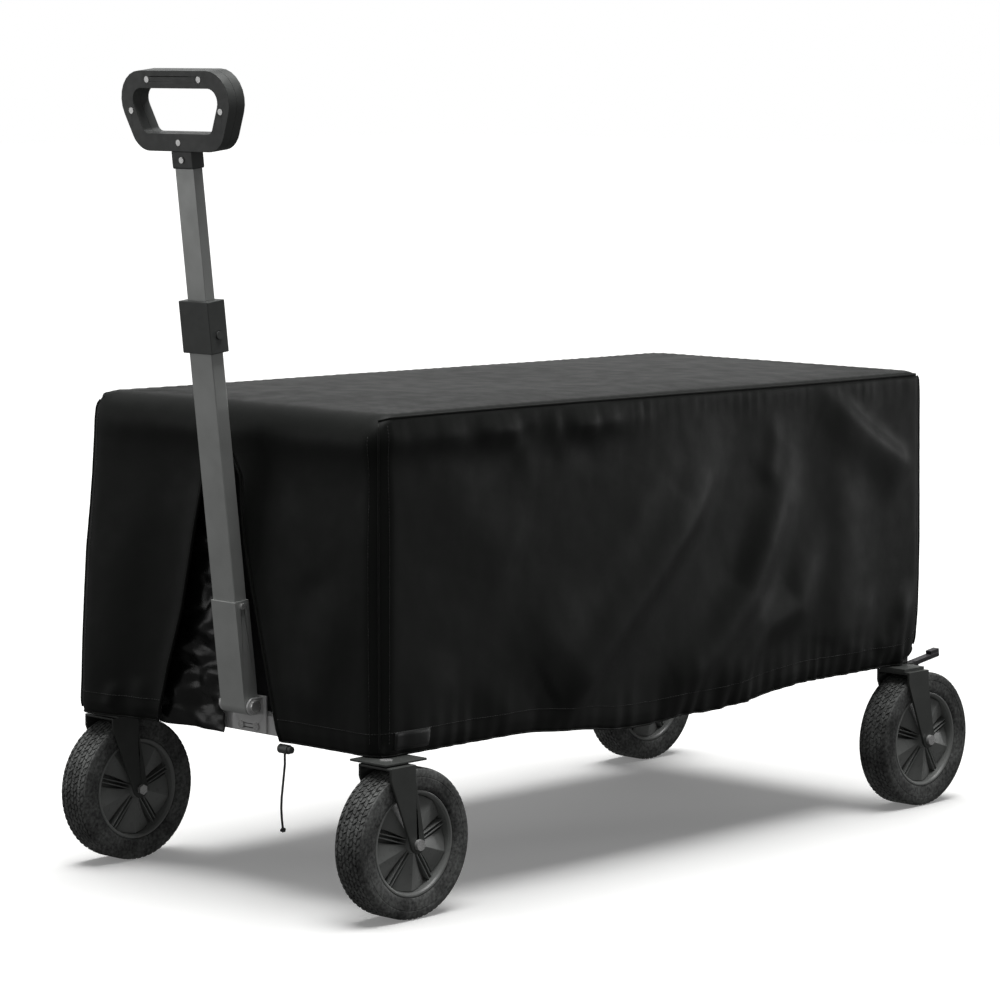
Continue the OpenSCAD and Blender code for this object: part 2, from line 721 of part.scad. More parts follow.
module grip_screws() {
    deep = grip_d / 2;
    color("silver") on_pole() {
        for (p = grip_screw_places) {
            translate([p[0], -deep - 0.8, p[1]]) rotate([-90, 0, 0]) {
                cylinder(r = grip_screw_r, h = 2);
                cylinder(r = grip_shank_r, h = 2 * deep - 4);
            }
        }
        translate([0, -neck_d / 2 - 1.5, grip_z - neck_h / 2]) rotate([-90, 0, 0]) {
            cylinder(r = grip_screw_r, h = 1.5);
            cylinder(r = grip_shank_r, h = 3.5);
        }
    }
}

// ---------- cover ----------

module cover_top() {
    color([0.3, 0.31, 0.3]) block([-cover_w / 2, cover_front_y, roof_z], [cover_w / 2, cover_rear_y, cover_top_z]);
}

module cover_side() {
    color([0.12, 0.13, 0.12]) block([cover_w / 2 - cover_t, cover_front_y, hem_z], [cover_w / 2, cover_rear_y, roof_z]);
}
module cover_right() { cover_side(); }
module cover_left() { mirror([1, 0, 0]) cover_side(); }

module cover_front() {
    inside = cover_w / 2 - cover_t;
    color([0.09, 0.1, 0.09]) profile_y(cover_front_y, cover_front_y + cover_t) difference() {
        polygon([[-inside, hem_z], [inside, hem_z], [inside, roof_z], [-inside, roof_z]]);
        polygon([for (p = slit) [p[0], hem_z + p[1] * slit_rise]]);
    }
}

module cover_rear() {
    inside = cover_w / 2 - cover_t;
    color([0.09, 0.1, 0.09]) block([-inside, cover_rear_y - cover_t, hem_z + rear_hem_up], [inside, cover_rear_y, roof_z]);
}

// A loose flap sewn behind the left edge of the slit
module slit_gusset() {
    y0 = cover_front_y + cover_t;
    color([0.05, 0.05, 0.05]) profile_y(y0, y0 + gusset_t) polygon([
        [gusset_x0, hem_z], [gusset_x1, hem_z], [gusset_x1, hem_z + gusset_h - 60], [-78, hem_z + gusset_h],
        [gusset_x0 + 40, hem_z + gusset_h]]);
}

// The cord in the hem, from the slit's left edge round the cover to its right edge and down through the lock
module drawstring() {
    r = string_d / 2;
    x = cover_w / 2 - cover_t - r;
    y0 = cover_front_y + cover_t + r;
    y1 = cover_rear_y - cover_t - r;
    drop_z = hem_z - string_d;
    color("black") {
        hem_run([gusset_x0 - 2, y0, string_z], [-x, y0, string_z]);
        hem_run([lock_x, y0, string_z], [x, y0, string_z]);
        hem_run([-x, y1, string_rear_z], [x, y1, string_rear_z]);
        mirrored() {
            hem_run([x, y0, string_z], [x, y1, string_z]);
            hem_run([x, y1, string_z], [x, y1, string_rear_z]);
        }
        hem_run([lock_x, y0, string_z], [lock_x, y0, drop_z]);
        hem_run([lock_x, y0, drop_z], [lock_x, lock_y, drop_z]);
        translate([lock_x, lock_y, lock_z - lock_r]) cylinder(r = r, h = drop_z - lock_z + lock_r);
    }
}

// A straight run of the drawstring between two points, square as the hem presses it
module hem_run(from, to) {
    r = string_d / 2;
    low = [for (k = [0 : 2]) min(from[k], to[k]) - r];
    high = [for (k = [0 : 2]) max(from[k], to[k]) + r];
    block(low, high);
}

module cord_lock() {
    color([0.05, 0.05, 0.05]) difference() {
        rod_x(lock_r, lock_x - lock_l / 2, lock_x + lock_l / 2, lock_y, lock_z);
        rod_x(plunger_r + run_gap, lock_x - lock_l / 2 + 10, lock_x + lock_l, lock_y, lock_z);
        translate([lock_x, lock_y, lock_z - lock_l]) cylinder(r = string_d / 2 + 0.1, h = 2 * lock_l);
    }
}

module cord_lock_plunger() {
    x1 = lock_x + lock_l / 2 + plunger_proud;
    color([0.05, 0.05, 0.05]) rod_x(plunger_r, x1 - plunger_l + 2, x1, lock_y, lock_z);
}

// Points of a ring of the given radius about a point of a route that hangs down
function ring(p, r, sides) = [for (k = [0 : sides - 1]) p + r * [cos(360 * k / sides), sin(360 * k / sides), 0]];

// A tube along a hanging route, closed at both ends
module hanging_tube(route, r, sides) {
    rings = len(route);
    points = [for (p = route) each ring(p, r, sides)];
    walls = [for (i = [0 : rings - 2], k = [0 : sides - 1]) let (n = (k + 1) % sides)
        [i * sides + k, i * sides + n, (i + 1) * sides + n, (i + 1) * sides + k]];
    ends = [[for (k = [sides - 1 : -1 : 0]) k], [for (k = [0 : sides - 1]) (rings - 1) * sides + k]];
    polyhedron(points, concat(walls, ends));
}

module drawstring_tail() {
    top = [lock_x, lock_y, lock_z - lock_r];
    route = [for (p = tail_route) top + p];
    color("black") {
        hanging_tube(route, tail_d / 2, 8);
        translate(route[len(route) - 1]) sphere(r = knot_r, $fn = 24);
    }
}

front_posts();
front_cross_tubes();
front_corner_mouldings();
front_hinge_arms();
front_caster_plates();
kingpins();
basket_front();
basket_side_left();
basket_side_right();
handle_bracket();
handle_bolts();
front_hinge_pins();
front_floor_frame();
front_mat();
centre_hinge_pins();
rear_floor_frame();
rear_mat();
rear_posts();
rear_cross_tubes();
rear_corner_mouldings();
rear_hinge_arms();
rear_forks();
rear_axles();
basket_rear();
rear_hinge_pins();
front_fork_left();
front_fork_right();
front_axle_left();
front_axle_right();
tyre_front_left();
tyre_front_right();
tyre_rear_left();
tyre_rear_right();
hub_front_left();
hub_front_right();
hub_rear_left();
hub_rear_right();
brake_pedal_left();
brake_pedal_right();
handle_socket();
pole_outer();
pole_sleeve();
snap_button();
release_button();
pole_inner();
grip_neck();
grip_front_shell();
grip_rear_shell();
grip_screws();
cover_top();
cover_left();
cover_right();
cover_front();
cover_rear();
slit_gusset();
drawstring();
cord_lock();
cord_lock_plunger();
drawstring_tail();
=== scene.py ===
"""Looks of a folding camp wagon under its fitted cover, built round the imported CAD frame. Metres."""

import math
import random

import bmesh
import bpy
import numpy as np
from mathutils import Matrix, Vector, noise


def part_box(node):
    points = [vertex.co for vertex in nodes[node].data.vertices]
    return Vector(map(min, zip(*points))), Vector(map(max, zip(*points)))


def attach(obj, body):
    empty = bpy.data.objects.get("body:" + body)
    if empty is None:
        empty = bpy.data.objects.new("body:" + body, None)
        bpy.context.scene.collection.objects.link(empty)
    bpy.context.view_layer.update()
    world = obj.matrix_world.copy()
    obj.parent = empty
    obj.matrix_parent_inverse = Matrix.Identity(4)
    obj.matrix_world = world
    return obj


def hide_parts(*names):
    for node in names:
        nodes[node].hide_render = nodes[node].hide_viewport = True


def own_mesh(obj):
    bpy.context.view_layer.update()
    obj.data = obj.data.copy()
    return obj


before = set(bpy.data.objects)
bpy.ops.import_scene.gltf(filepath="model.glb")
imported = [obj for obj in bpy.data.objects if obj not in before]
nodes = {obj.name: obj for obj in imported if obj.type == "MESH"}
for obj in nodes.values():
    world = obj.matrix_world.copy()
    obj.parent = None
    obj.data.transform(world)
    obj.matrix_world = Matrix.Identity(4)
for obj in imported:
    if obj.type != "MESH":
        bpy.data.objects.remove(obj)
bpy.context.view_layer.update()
rng = random.Random(7)

# ---------- camera ----------

CAMERA_AZIMUTH, CAMERA_ELEVATION = math.radians(44.03), math.radians(6.64)
CAMERA_DISTANCE, CAMERA_LENS = 5.3166, 140.5
CAMERA_TARGET = Vector((-0.0316, -0.0125, 0.456))


def make_camera():
    data = bpy.data.cameras.new("camera")
    data.lens, data.sensor_width = CAMERA_LENS, 36
    camera = bpy.data.objects.new("camera", data)
    bpy.context.scene.collection.objects.link(camera)
    level = math.cos(CAMERA_ELEVATION)
    back = Vector((
        math.sin(CAMERA_AZIMUTH) * level, -math.cos(CAMERA_AZIMUTH) * level, math.sin(CAMERA_ELEVATION)))
    camera.location = CAMERA_TARGET + back * CAMERA_DISTANCE
    camera.rotation_mode = "QUATERNION"
    camera.rotation_quaternion = (-back).to_track_quat("-Z", "Y")
    bpy.context.scene.camera = camera


make_camera()

# ---------- materials ----------


class Nodes:
    """A material's node tree, with one short call per node."""

    def __init__(self, name):
        self.material = bpy.data.materials.new(name)
        self.material.use_nodes = True
        self.tree = self.material.node_tree
        self.shader = self.tree.nodes["Principled BSDF"]
        self.place = self.add("ShaderNodeTexCoord").outputs["Object"]

    def add(self, kind, **values):
        node = self.tree.nodes.new(kind)
        for key, value in values.items():
            if hasattr(node, key):
                setattr(node, key, value)
            else:
                node.inputs[key.replace("_", " ").title()].default_value = value
        return node

    def link(self, a, b):
        self.tree.links.new(a, b)

    def noise(self, scale, detail=3.0, stretch=(1, 1, 1)):
        mapping = self.add("ShaderNodeMapping")
        mapping.inputs["Scale"].default_value = stretch
        self.link(self.place, mapping.inputs["Vector"])
        node = self.add("ShaderNodeTexNoise", scale=scale, detail=detail)
        self.link(mapping.outputs["Vector"], node.inputs["Vector"])
        return node.outputs["Fac"]

    def bands(self, scale, direction):
        node = self.add("ShaderNodeTexWave", scale=scale, bands_direction=direction)
        self.link(self.place, node.inputs["Vector"])
        return node.outputs["Fac"]

    def ramp(self, value, low, high, a=0.35, b=0.65):
        node = self.add("ShaderNodeMapRange")
        node.inputs["From Min"].default_value, node.inputs["From Max"].default_value = a, b
        node.inputs["To Min"].default_value, node.inputs["To Max"].default_value = low, high
        self.link(value, node.inputs["Value"])
        return node.outputs["Result"]

    def math(self, operation, a, b):
        node = self.add("ShaderNodeMath", operation=operation)
        for socket, value in zip(node.inputs, (a, b)):
            if isinstance(value, (int, float)):
                socket.default_value = value
            else:
                self.link(value, socket)
        return node.outputs["Value"]

    def colour(self, value, low, high, a=0.3, b=0.7):
        node = self.add("ShaderNodeValToRGB")
        node.color_ramp.elements[0].position, node.color_ramp.elements[1].position = a, b
        node.color_ramp.elements[0].color, node.color_ramp.elements[1].color = (*low, 1), (*high, 1)
        self.link(value, node.inputs["Fac"])
        self.link(node.outputs["Color"], self.shader.inputs["Base Color"])

    def rough(self, value, low, high):
        self.link(self.ramp(value, low, high), self.shader.inputs["Roughness"])

    def bump(self, heights):
        """heights is a list of (value, distance in metres), from the coarsest to the finest."""
        below = None
        for value, distance in heights:
            node = self.add("ShaderNodeBump", distance=distance)
            node.inputs["Strength"].default_value = 1.0
            self.link(value, node.inputs["Height"])
            if below is not None:
                self.link(below, node.inputs["Normal"])
            below = node.outputs["Normal"]
        self.link(below, self.shader.inputs["Normal"])

    def set(self, **values):
        for key, value in values.items():
            self.shader.inputs[key.replace("_", " ").title().replace("Ior", "IOR")].default_value = value


def woven(name, low, high, roughness, thread, weave_depth, crinkle, sheen, specular):
    """Cloth of square weave. thread is the width of two threads in metres."""
    m = Nodes(name)
    tone = m.math("ADD", m.math("MULTIPLY", m.noise(9, 4), 0.7), m.math("MULTIPLY", m.noise(420, 2), 0.3))
    m.colour(tone, low, high)
    m.rough(m.noise(35, 3), *roughness)
    # a wave texture's bands repeat every 2 pi / 20 / scale
    scale = 2 * math.pi / (thread * 20)
    facing = m.add("ShaderNodeSeparateXYZ")
    m.link(m.tree.nodes["Texture Coordinate"].outputs["Normal"], facing.inputs["Vector"])
    weave = 0.0
    for axis in "XYZ":
        # bands level with the cloth would show as contour lines, so they fade where it faces their axis
        across = m.ramp(m.math("ABSOLUTE", facing.outputs[axis], 0), 1, 0, 0.35, 0.6)
        weave = m.math("ADD", m.math("MULTIPLY", m.bands(scale, axis), across), weave)
    m.bump([(m.noise(14, 4), crinkle), (m.noise(70, 3), crinkle * 0.25), (weave, weave_depth)])
    m.set(sheen_weight=sheen, sheen_roughness=0.45, specular_ior_level=specular)
    return m.material


def painted(name, low, high, roughness, grain, coat=0.0, metallic=0.0, specular=0.5):
    """Powder coat or satin paint: an orange peel of the grain's depth, and a gloss that varies a little."""
    m = Nodes(name)
    m.colour(m.noise(22, 5), low, high)
    m.rough(m.noise(60, 4), *roughness)
    m.bump([(m.noise(45, 2), grain * 2), (m.noise(900, 2), grain)])
    m.set(coat_weight=coat, coat_roughness=0.25, metallic=metallic, specular_ior_level=specular)
    return m.material


def moulded(name, low, high, roughness, grain, specular=0.5):
    """Moulded plastic with a spark-eroded grain."""
    m = Nodes(name)
    m.colour(m.noise(16, 4), low, high)
    m.rough(m.noise(110, 4), *roughness)
    cells = m.add("ShaderNodeTexVoronoi", scale=1400)
    m.link(m.place, cells.inputs["Vector"])
    m.bump([(m.noise(8, 2), grain * 4), (cells.outputs["Distance"], grain)])
    m.set(specular_ior_level=specular)
    return m.material


def plated(name, colour, roughness):
    """Zinc-plated steel with faint turning marks."""
    m = Nodes(name)
    m.colour(m.noise(120, 4), [c * 0.75 for c in colour], colour)
    m.rough(m.noise(260, 3, (1, 6, 6)), *roughness)
    m.bump([(m.noise(500, 2, (1, 8, 8)), 0.00002)])
    m.set(metallic=0.55)
    return m.material


def rubber(name):
    """Matt tyre rubber with dusty patches and fine scuffs."""
    m = Nodes(name)
    dust = m.math("MULTIPLY", m.noise(26, 5), m.noise(240, 4))
    m.colour(dust, (0.045, 0.0455, 0.045), (0.24, 0.247, 0.24), 0.12, 0.4)
    m.rough(m.noise(90, 4), 0.62, 0.9)
    m.bump([(m.noise(60, 3), 0.00025), (m.noise(900, 3), 0.00008)])
    m.set(specular_ior_level=0.32)
    return m.material


def braided(name):
    """Thin braided cord."""
    m = Nodes(name)
    m.colour(m.noise(300, 3), (0.006, 0.006, 0.006), (0.03, 0.03, 0.03))
    twist = m.math("ADD", m.bands(240, "DIAGONAL"), m.bands(330, "Z"))
    m.rough(m.noise(200, 2), 0.7, 0.9)
    m.bump([(twist, 0.0003)])
    m.set(sheen_weight=0.3, sheen_roughness=0.5)
    return m.material


# The maker of each slot's material, and the maker's values in the order that it takes them
LOOKS = {
    "frame_paint": (painted, (0.035, 0.036, 0.036), (0.055, 0.056, 0.056), (0.4, 0.55), 0.00004),
    "fork_paint": (painted, (0.062, 0.066, 0.062), (0.085, 0.09, 0.085), (0.42, 0.55), 0.00004),
    "bracket_steel": (painted, (0.8, 0.8, 0.795), (0.88, 0.88, 0.875), (0.28, 0.4), 0.00003, 0.0, 0.25),
    "pole_paint": (painted, (0.56, 0.575, 0.56), (0.64, 0.655, 0.64), (0.3, 0.4), 0.00002, 0.15, 0.3),
    "bright_steel": (plated, (0.95, 0.95, 0.94), (0.16, 0.3)),
    "black_plastic": (moulded, (0.11, 0.115, 0.112), (0.14, 0.146, 0.142), (0.38, 0.5), 0.00004),
    "sleeve_plastic": (moulded, (0.1, 0.106, 0.102), (0.13, 0.137, 0.132), (0.4, 0.52), 0.00004),
    "pedal_plastic": (moulded, (0.03, 0.027, 0.031), (0.045, 0.041, 0.047), (0.45, 0.6), 0.00005),
    "tyre_rubber": (rubber,),
    "hub_plastic": (moulded, (0.26, 0.268, 0.26), (0.33, 0.34, 0.33), (0.26, 0.36), 0.00003),
    "cover_cloth": (
        woven, (0.0088, 0.0098, 0.0088), (0.0115, 0.0128, 0.0115), (0.48, 0.56), 0.0009, 0.00003, 0.0003,
        0.05, 0.2),
    "gusset_cloth": (
        woven, (0.003, 0.0033, 0.003), (0.005, 0.0055, 0.005), (0.26, 0.34), 0.0007, 0.00001, 0.0016,
        0.02, 0.55),
    "basket_cloth": (
        woven, (0.015, 0.015, 0.017), (0.028, 0.028, 0.031), (0.7, 0.85), 0.0016, 0.00014, 0.0016,
        0.25, 0.3),
    "cord": (braided,),
}
MATERIALS = {name: make(name, *values) for name, (make, *values) in LOOKS.items()}
LABEL = woven("label_satin", (0.011, 0.012, 0.0115), (0.016, 0.017, 0.0165), (0.4, 0.5), thread=0.0006,
              weave_depth=0.00003, crinkle=0.0004, sheen=0.1, specular=0.5)
THREAD = woven("thread", (0.008, 0.009, 0.008), (0.014, 0.015, 0.014), (0.5, 0.6), thread=0.0005,
               weave_depth=0.00005, crinkle=0.0003, sheen=0.3, specular=0.5)

# ---------- mesh building ----------


def mesh_object(name, parts, slot, smooth=True, material=None):
    """One object out of (vertices, faces) parts, in the row frame."""
    vertices, faces = [], []
    for points, loops in parts:
        start = len(vertices)
        vertices += [tuple(map(float, p)) for p in points]
        faces += [tuple(i + start for i in loop) for loop in loops]
    mesh = bpy.data.meshes.new(name)
    mesh.from_pydata(vertices, [], faces)
    mesh.update()
    mesh.materials.append(material or MATERIALS[slot])
    obj = bpy.data.objects.new(name, mesh)
    bpy.context.scene.collection.objects.link(obj)
    obj.data.polygons.foreach_set("use_smooth", [smooth] * len(faces))
    return obj


def tidy_mesh(obj, distance=1e-5):
    """Welds equal points, drops faces that have collapsed and turns the rest outwards."""
    work = bmesh.new()
    work.from_mesh(obj.data)
    bmesh.ops.remove_doubles(work, verts=work.verts, dist=distance)
    bmesh.ops.dissolve_degenerate(work, edges=work.edges, dist=distance)
    bmesh.ops.recalc_face_normals(work, faces=work.faces)
    work.to_mesh(obj.data)
    work.free()
    return obj


def bevelled(obj, width, segments=2, angle=32):
    """Rounds the piece's edges without touching its mesh."""
    obj.data.polygons.foreach_set("use_smooth", [True] * len(obj.data.polygons))
    weld = obj.modifiers.new("weld", "WELD")
    weld.merge_threshold = 1e-5
    bevel = obj.modifiers.new("bevel", "BEVEL")
    bevel.width, bevel.segments = width, segments
    bevel.limit_method, bevel.angle_limit = "ANGLE", math.radians(angle)
    bevel.use_clamp_overlap = True
    even = obj.modifiers.new("even", "WEIGHTED_NORMAL")
    even.weight, even.keep_sharp = 80, True
    return obj


def smooth_by_angle(obj, degrees):
    """Smooth shading except across edges sharper than the angle."""
    obj.data.polygons.foreach_set("use_smooth", [True] * len(obj.data.polygons))
    obj.data.set_sharp_from_angle(angle=math.radians(degrees))


def grid_faces(columns, rows):
    return [
        (c * rows + r, (c + 1) * rows + r, (c + 1) * rows + r + 1, c * rows + r + 1)
        for c in range(columns - 1)
        for r in range(rows - 1)
    ]


def sweep(path, outline, closed=False, up=(0, 0, 1)):
    """A closed outline of (across, over) pairs carried along a path."""
    path = np.asarray(path, float)
    count, sides = len(path), len(outline)
    ahead = np.roll(path, -1, 0) - np.roll(path, 1, 0)
    if not closed:
        ahead[0], ahead[-1] = path[1] - path[0], path[-1] - path[-2]
    points, side = [], None
    for p, a in zip(path, ahead):
        a = a / max(np.linalg.norm(a), 1e-12)
        base = np.array(up, float) if side is None else np.cross(side, a)
        side = np.cross(a, base)
        side /= max(np.linalg.norm(side), 1e-12)
        over = np.cross(side, a)
        points += [p + side * u + over * v for u, v in outline]
    rings = count if closed else count - 1
    faces = [
        (i * sides + k, i * sides + (k + 1) % sides, (i + 1) % count * sides + (k + 1) % sides,
         (i + 1) % count * sides + k)
        for i in range(rings)
        for k in range(sides)
    ]
    if not closed:
        faces += [tuple(range(sides))[::-1], tuple((count - 1) * sides + k for k in range(sides))]
    return points, faces


def oval(across, over, sides=8):
    return [(across * math.cos(2 * math.pi * k / sides), over * math.sin(2 * math.pi * k / sides))
            for k in range(sides)]


def lathe(profile, centre, steps=96):
    """A closed profile of (x offset, radius) pairs turned about the X axis through centre."""
    points = [
        (centre[0] + x, centre[1] + r * math.cos(2 * math.pi * k / steps),
         centre[2] + r * math.sin(2 * math.pi * k / steps))
        for k in range(steps)
        for x, r in profile
    ]
    count = len(profile)
    faces = [
        (k * count + i, k * count + (i + 1) % count, (k + 1) % steps * count + (i + 1) % count,
         (k + 1) % steps * count + i)
        for k in range(steps)
        for i in range(count)
    ]
    return points, faces


def stitches(path, pitch=0.0042, length=0.0028, radius=0.00035):
    """Small rounded threads end to end along a path."""
    path = np.asarray(path, float)
    steps = np.linalg.norm(np.diff(path, axis=0), axis=1)
    along = np.concatenate([[0], np.cumsum(steps)])
    parts = []
    for s in np.arange(pitch, along[-1] - pitch, pitch):
        spots = [np.array([np.interp(t, along, path[:, k]) for k in range(3)])
                 for t in (s, s + length * 0.5, s + length)]
        parts.append(sweep(spots, oval(radius, radius, 4)))
    return parts


def smooth_step(t):
    t = np.clip(t, 0, 1)
    return t * t * (3 - 2 * t)


def gauss(distance, width):
    """A smooth bump: 1 at distance 0, and nearly nothing at twice the width."""
    return np.exp(-((distance / width) ** 2))


def cloud(points, scale, seed=0.0, octaves=3):
    """Smooth noise from -1 to 1 at each point, for points in metres. scale is in features a metre."""
    return np.array([
        noise.fractal(Vector((p[0] * scale[0] + seed, p[1] * scale[1], p[2] * scale[2])), 0.9, 2.0, octaves)
        for p in points
    ])


# ---------- the hem's cord ----------

MM = 0.001
TAIL_TOP = Vector((0.080, -0.5175, 0.186))
TAIL_ROUTE = [
    (0, 0, 0), (0, 0, -7), (0, 0, -14), (-0.5, -0.5, -21), (-1, -1, -28), (-1.5, -1.5, -35), (-2, -2, -42),
    (-2.5, -2.5, -49), (-3, -3, -56), (-3.5, -3, -63), (-4, -3, -70), (-4, -2.5, -77), (-4, -2, -84),
    (-3.5, -1.5, -91), (-3, -1, -98),
]
TAIL_D = 3 * MM


def on_cover(obj, *replaced):
    """The piece rides on the cover with a mesh of its own, and the CAD parts that it replaces are hidden."""
    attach(obj, "cover")
    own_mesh(obj)
    if replaced:
        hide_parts(*replaced)
    return obj


def make_tail():
    """The free end of the cord below its lock, with a knot at the bottom."""
    route = [TAIL_TOP + Vector(p) * MM for p in TAIL_ROUTE]
    data = bpy.data.curves.new("tail_cord", "CURVE")
    data.dimensions = "3D"
    data.bevel_depth, data.bevel_resolution, data.use_fill_caps = TAIL_D / 2, 3, True
    spline = data.splines.new("POLY")
    spline.points.add(len(route) - 1)
    for point, place in zip(spline.points, route):
        point.co = (*place, 1)
    spline.use_smooth = True
    data.materials.append(MATERIALS["cord"])
    cord = bpy.data.objects.new("tail_cord", data)
    bpy.context.scene.collection.objects.link(cord)
    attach(cord, "cover")
    end = np.array(route[-1])
    turns = []
    for a in np.linspace(0, 2 * math.pi, 60, endpoint=False):
        # an overhand knot is a trefoil
        r = 1.9 + 0.8 * math.cos(3 * a)
        turns.append(end + np.array([r * math.cos(2 * a), r * math.sin(2 * a), 1.5 * math.sin(3 * a)]) * MM)
    knot = mesh_object("tail_knot", [sweep(turns, oval(0.0013, 0.0013), closed=True)], "cord")
    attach(tidy_mesh(knot), "cover")
    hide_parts("drawstring_tail")


make_tail()

# ---------- the cover ----------

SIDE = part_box("cover_right")[1].x
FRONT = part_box("cover_front")[0].y
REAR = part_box("cover_rear")[1].y
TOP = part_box("cover_top")[1].z
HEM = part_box("cover_front")[0].z
REAR_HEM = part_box("cover_rear")[0].z
MIDDLE = (FRONT + REAR) / 2
HALF_L = (REAR - FRONT) / 2
CORNER = 0.024
EDGE_SIDE, EDGE_FRONT, EDGE_REAR = 0.011, 0.03, 0.014
CLOTH = 0.0015
# The grid's columns along each wall and round a corner, and its rows up a wall, round the edge and on the top
FRONT_RIGHT, SIDE_WALL, REAR_WALL, FRONT_LEFT, CORNER_STEPS = 34, 171, 76, 27, 10
WALL_ROWS, EDGE_ROWS, TOP_ROWS = 70, 7, 24
SEAM_ROW = WALL_ROWS + 2
HEM_ROW = 5
# The sides' hem hangs loose up to this share of half their length from the middle, and droops by this much
LOOSE_SHARE, HEM_DROOP = 0.56, 0.018
# Edges of the slit: (x, height above the hem) in millimetres, from the hem up to where they meet
SLIT_LEFT = [(-140, 0), (-122, 73), (-98, 153), (-84, 218), (-70, 283), (-60, 350), (-42, 398)]
SLIT_RIGHT = [(77, 0), (58, 83), (40, 159), (20, 243), (6, 327), (-42, 398)]
SLIT_TOP = SLIT_LEFT[-1][1] * MM


def slit_edge(outline, height):
    return np.interp(height, [h * MM for _, h in outline], [x * MM for x, _ in outline])


def perimeter():
    """Columns of the walls, from the slit's right edge round to its left: (x, y, normal x, normal y, share).

    share is None away from the front. On its right part it runs from 0 at the slit to 1 at the corner, and on
    its left part from -1 at the corner to 0 at the slit."""
    found = []
    straight_x, straight_y = SIDE - CORNER, HALF_L - CORNER

    def arc(cx, cy, start):
        for k in range(1, CORNER_STEPS):
            a = math.radians(start + 90 * k / CORNER_STEPS)
            nx, ny = math.cos(a), math.sin(a)
            found.append((cx + CORNER * nx, cy + CORNER * ny, nx, ny, None))

    for t in np.linspace(0, 1, FRONT_RIGHT):
        found.append((0, FRONT, 0, -1, t))
    arc(straight_x, MIDDLE - straight_y, -90)
    for t in np.linspace(-1, 1, SIDE_WALL):
        found.append((SIDE, MIDDLE + straight_y * t, 1, 0, None))
    arc(straight_x, MIDDLE + straight_y, 0)
    for t in np.linspace(-1, 1, REAR_WALL):
        found.append((-straight_x * t, REAR, 0, 1, None))
    arc(-straight_x, MIDDLE + straight_y, 90)
    for t in np.linspace(-1, 1, SIDE_WALL):
        found.append((-SIDE, MIDDLE - straight_y * t, -1, 0, None))
    arc(-straight_x, MIDDLE - straight_y, 180)
    for t in np.linspace(-1, 0, FRONT_LEFT):
        found.append((0, FRONT, 0, -1, t))
    return found


# Folds of the cloth: a path of (along, height) points, how far the fold lifts the cloth, and its width on the
# left and on the right of its path, all in millimetres. "along" is y on the sides and x on the ends.
RIGHT_FOLDS = [
    ([(135, 590), (118, 553), (50, 460), (-28, 385), (-107, 312), (-196, 222), (-235, 200)], 19, 28, 56),
    ([(262, 580), (233, 458), (170, 337), (97, 268), (30, 221), (-20, 200)], 14, 30, 36),
    ([(330, 430), (272, 310), (200, 285), (147, 232), (90, 200)], 10, 22, 30),
    ([(380, 560), (372, 400), (365, 250), (350, 205)], 7, 48, 48),
    ([(300, 606), (331, 595), (415, 540), (505, 488), (530, 470)], 9, 15, 45),
    ([(530, 320), (500, 260), (458, 212)], 7, 16, 20),
    ([(-160, 400), (-230, 330), (-290, 270), (-345, 215)], 5, 45, 45),
    ([(440, 330), (420, 270), (395, 212)], 3, 16, 18),
    ([(-430, 560), (-350, 480), (-260, 430)], 2.5, 40, 50),
    ([(60, 600), (-60, 470), (-180, 350), (-270, 250)], 6, 30, 46),
    ([(-400, 330), (-440, 260), (-470, 205)], 2.5, 30, 34),
    ([(215, 590), (225, 540), (205, 480)], 2.5, 14, 18),
]
LEFT_FOLDS = [
    ([(-180, 590), (-110, 480), (-20, 380), (70, 300), (160, 215)], 7, 20, 30),
    ([(-330, 540), (-280, 400), (-200, 290), (-130, 210)], 5, 24, 26),
    ([(90, 560), (180, 450), (260, 330), (330, 215)], 6, 18, 32),
    ([(330, 590), (400, 520), (480, 440)], 5, 14, 28),
    ([(-460, 560), (-430, 400), (-400, 240)], 3, 30, 30),
    ([(250, 590), (300, 500), (390, 400), (470, 300)], 3.5, 24, 30),
    ([(0, 300), (30, 250), (70, 205)], 3, 16, 18),
]
FRONT_FOLDS = [
    ([(215, 440), (190, 390), (155, 310), (120, 225)], 4, 34, 40),
    ([(-150, 560), (-185, 430), (-200, 300), (-195, 215)], 3, 30, 34),
    ([(-165, 260), (-155, 205)], 4, 8, 10),
    ([(-190, 250), (-205, 205)], 3.5, 8, 9),
    ([(60, 540), (120, 470), (150, 400)], 2.5, 30, 40),
]
REAR_FOLDS = [
    ([(-200, 560), (-90, 470), (30, 400), (150, 330)], 5, 22, 34),
    ([(210, 590), (120, 480), (60, 350), (30, 235)], 4.5, 24, 30),
    ([(-150, 400), (-120, 310), (-110, 235)], 4, 20, 24),
    ([(170, 300), (180, 235)], 3.5, 12, 14),
    ([(-40, 290), (-60, 235)], 3, 12, 14),
]


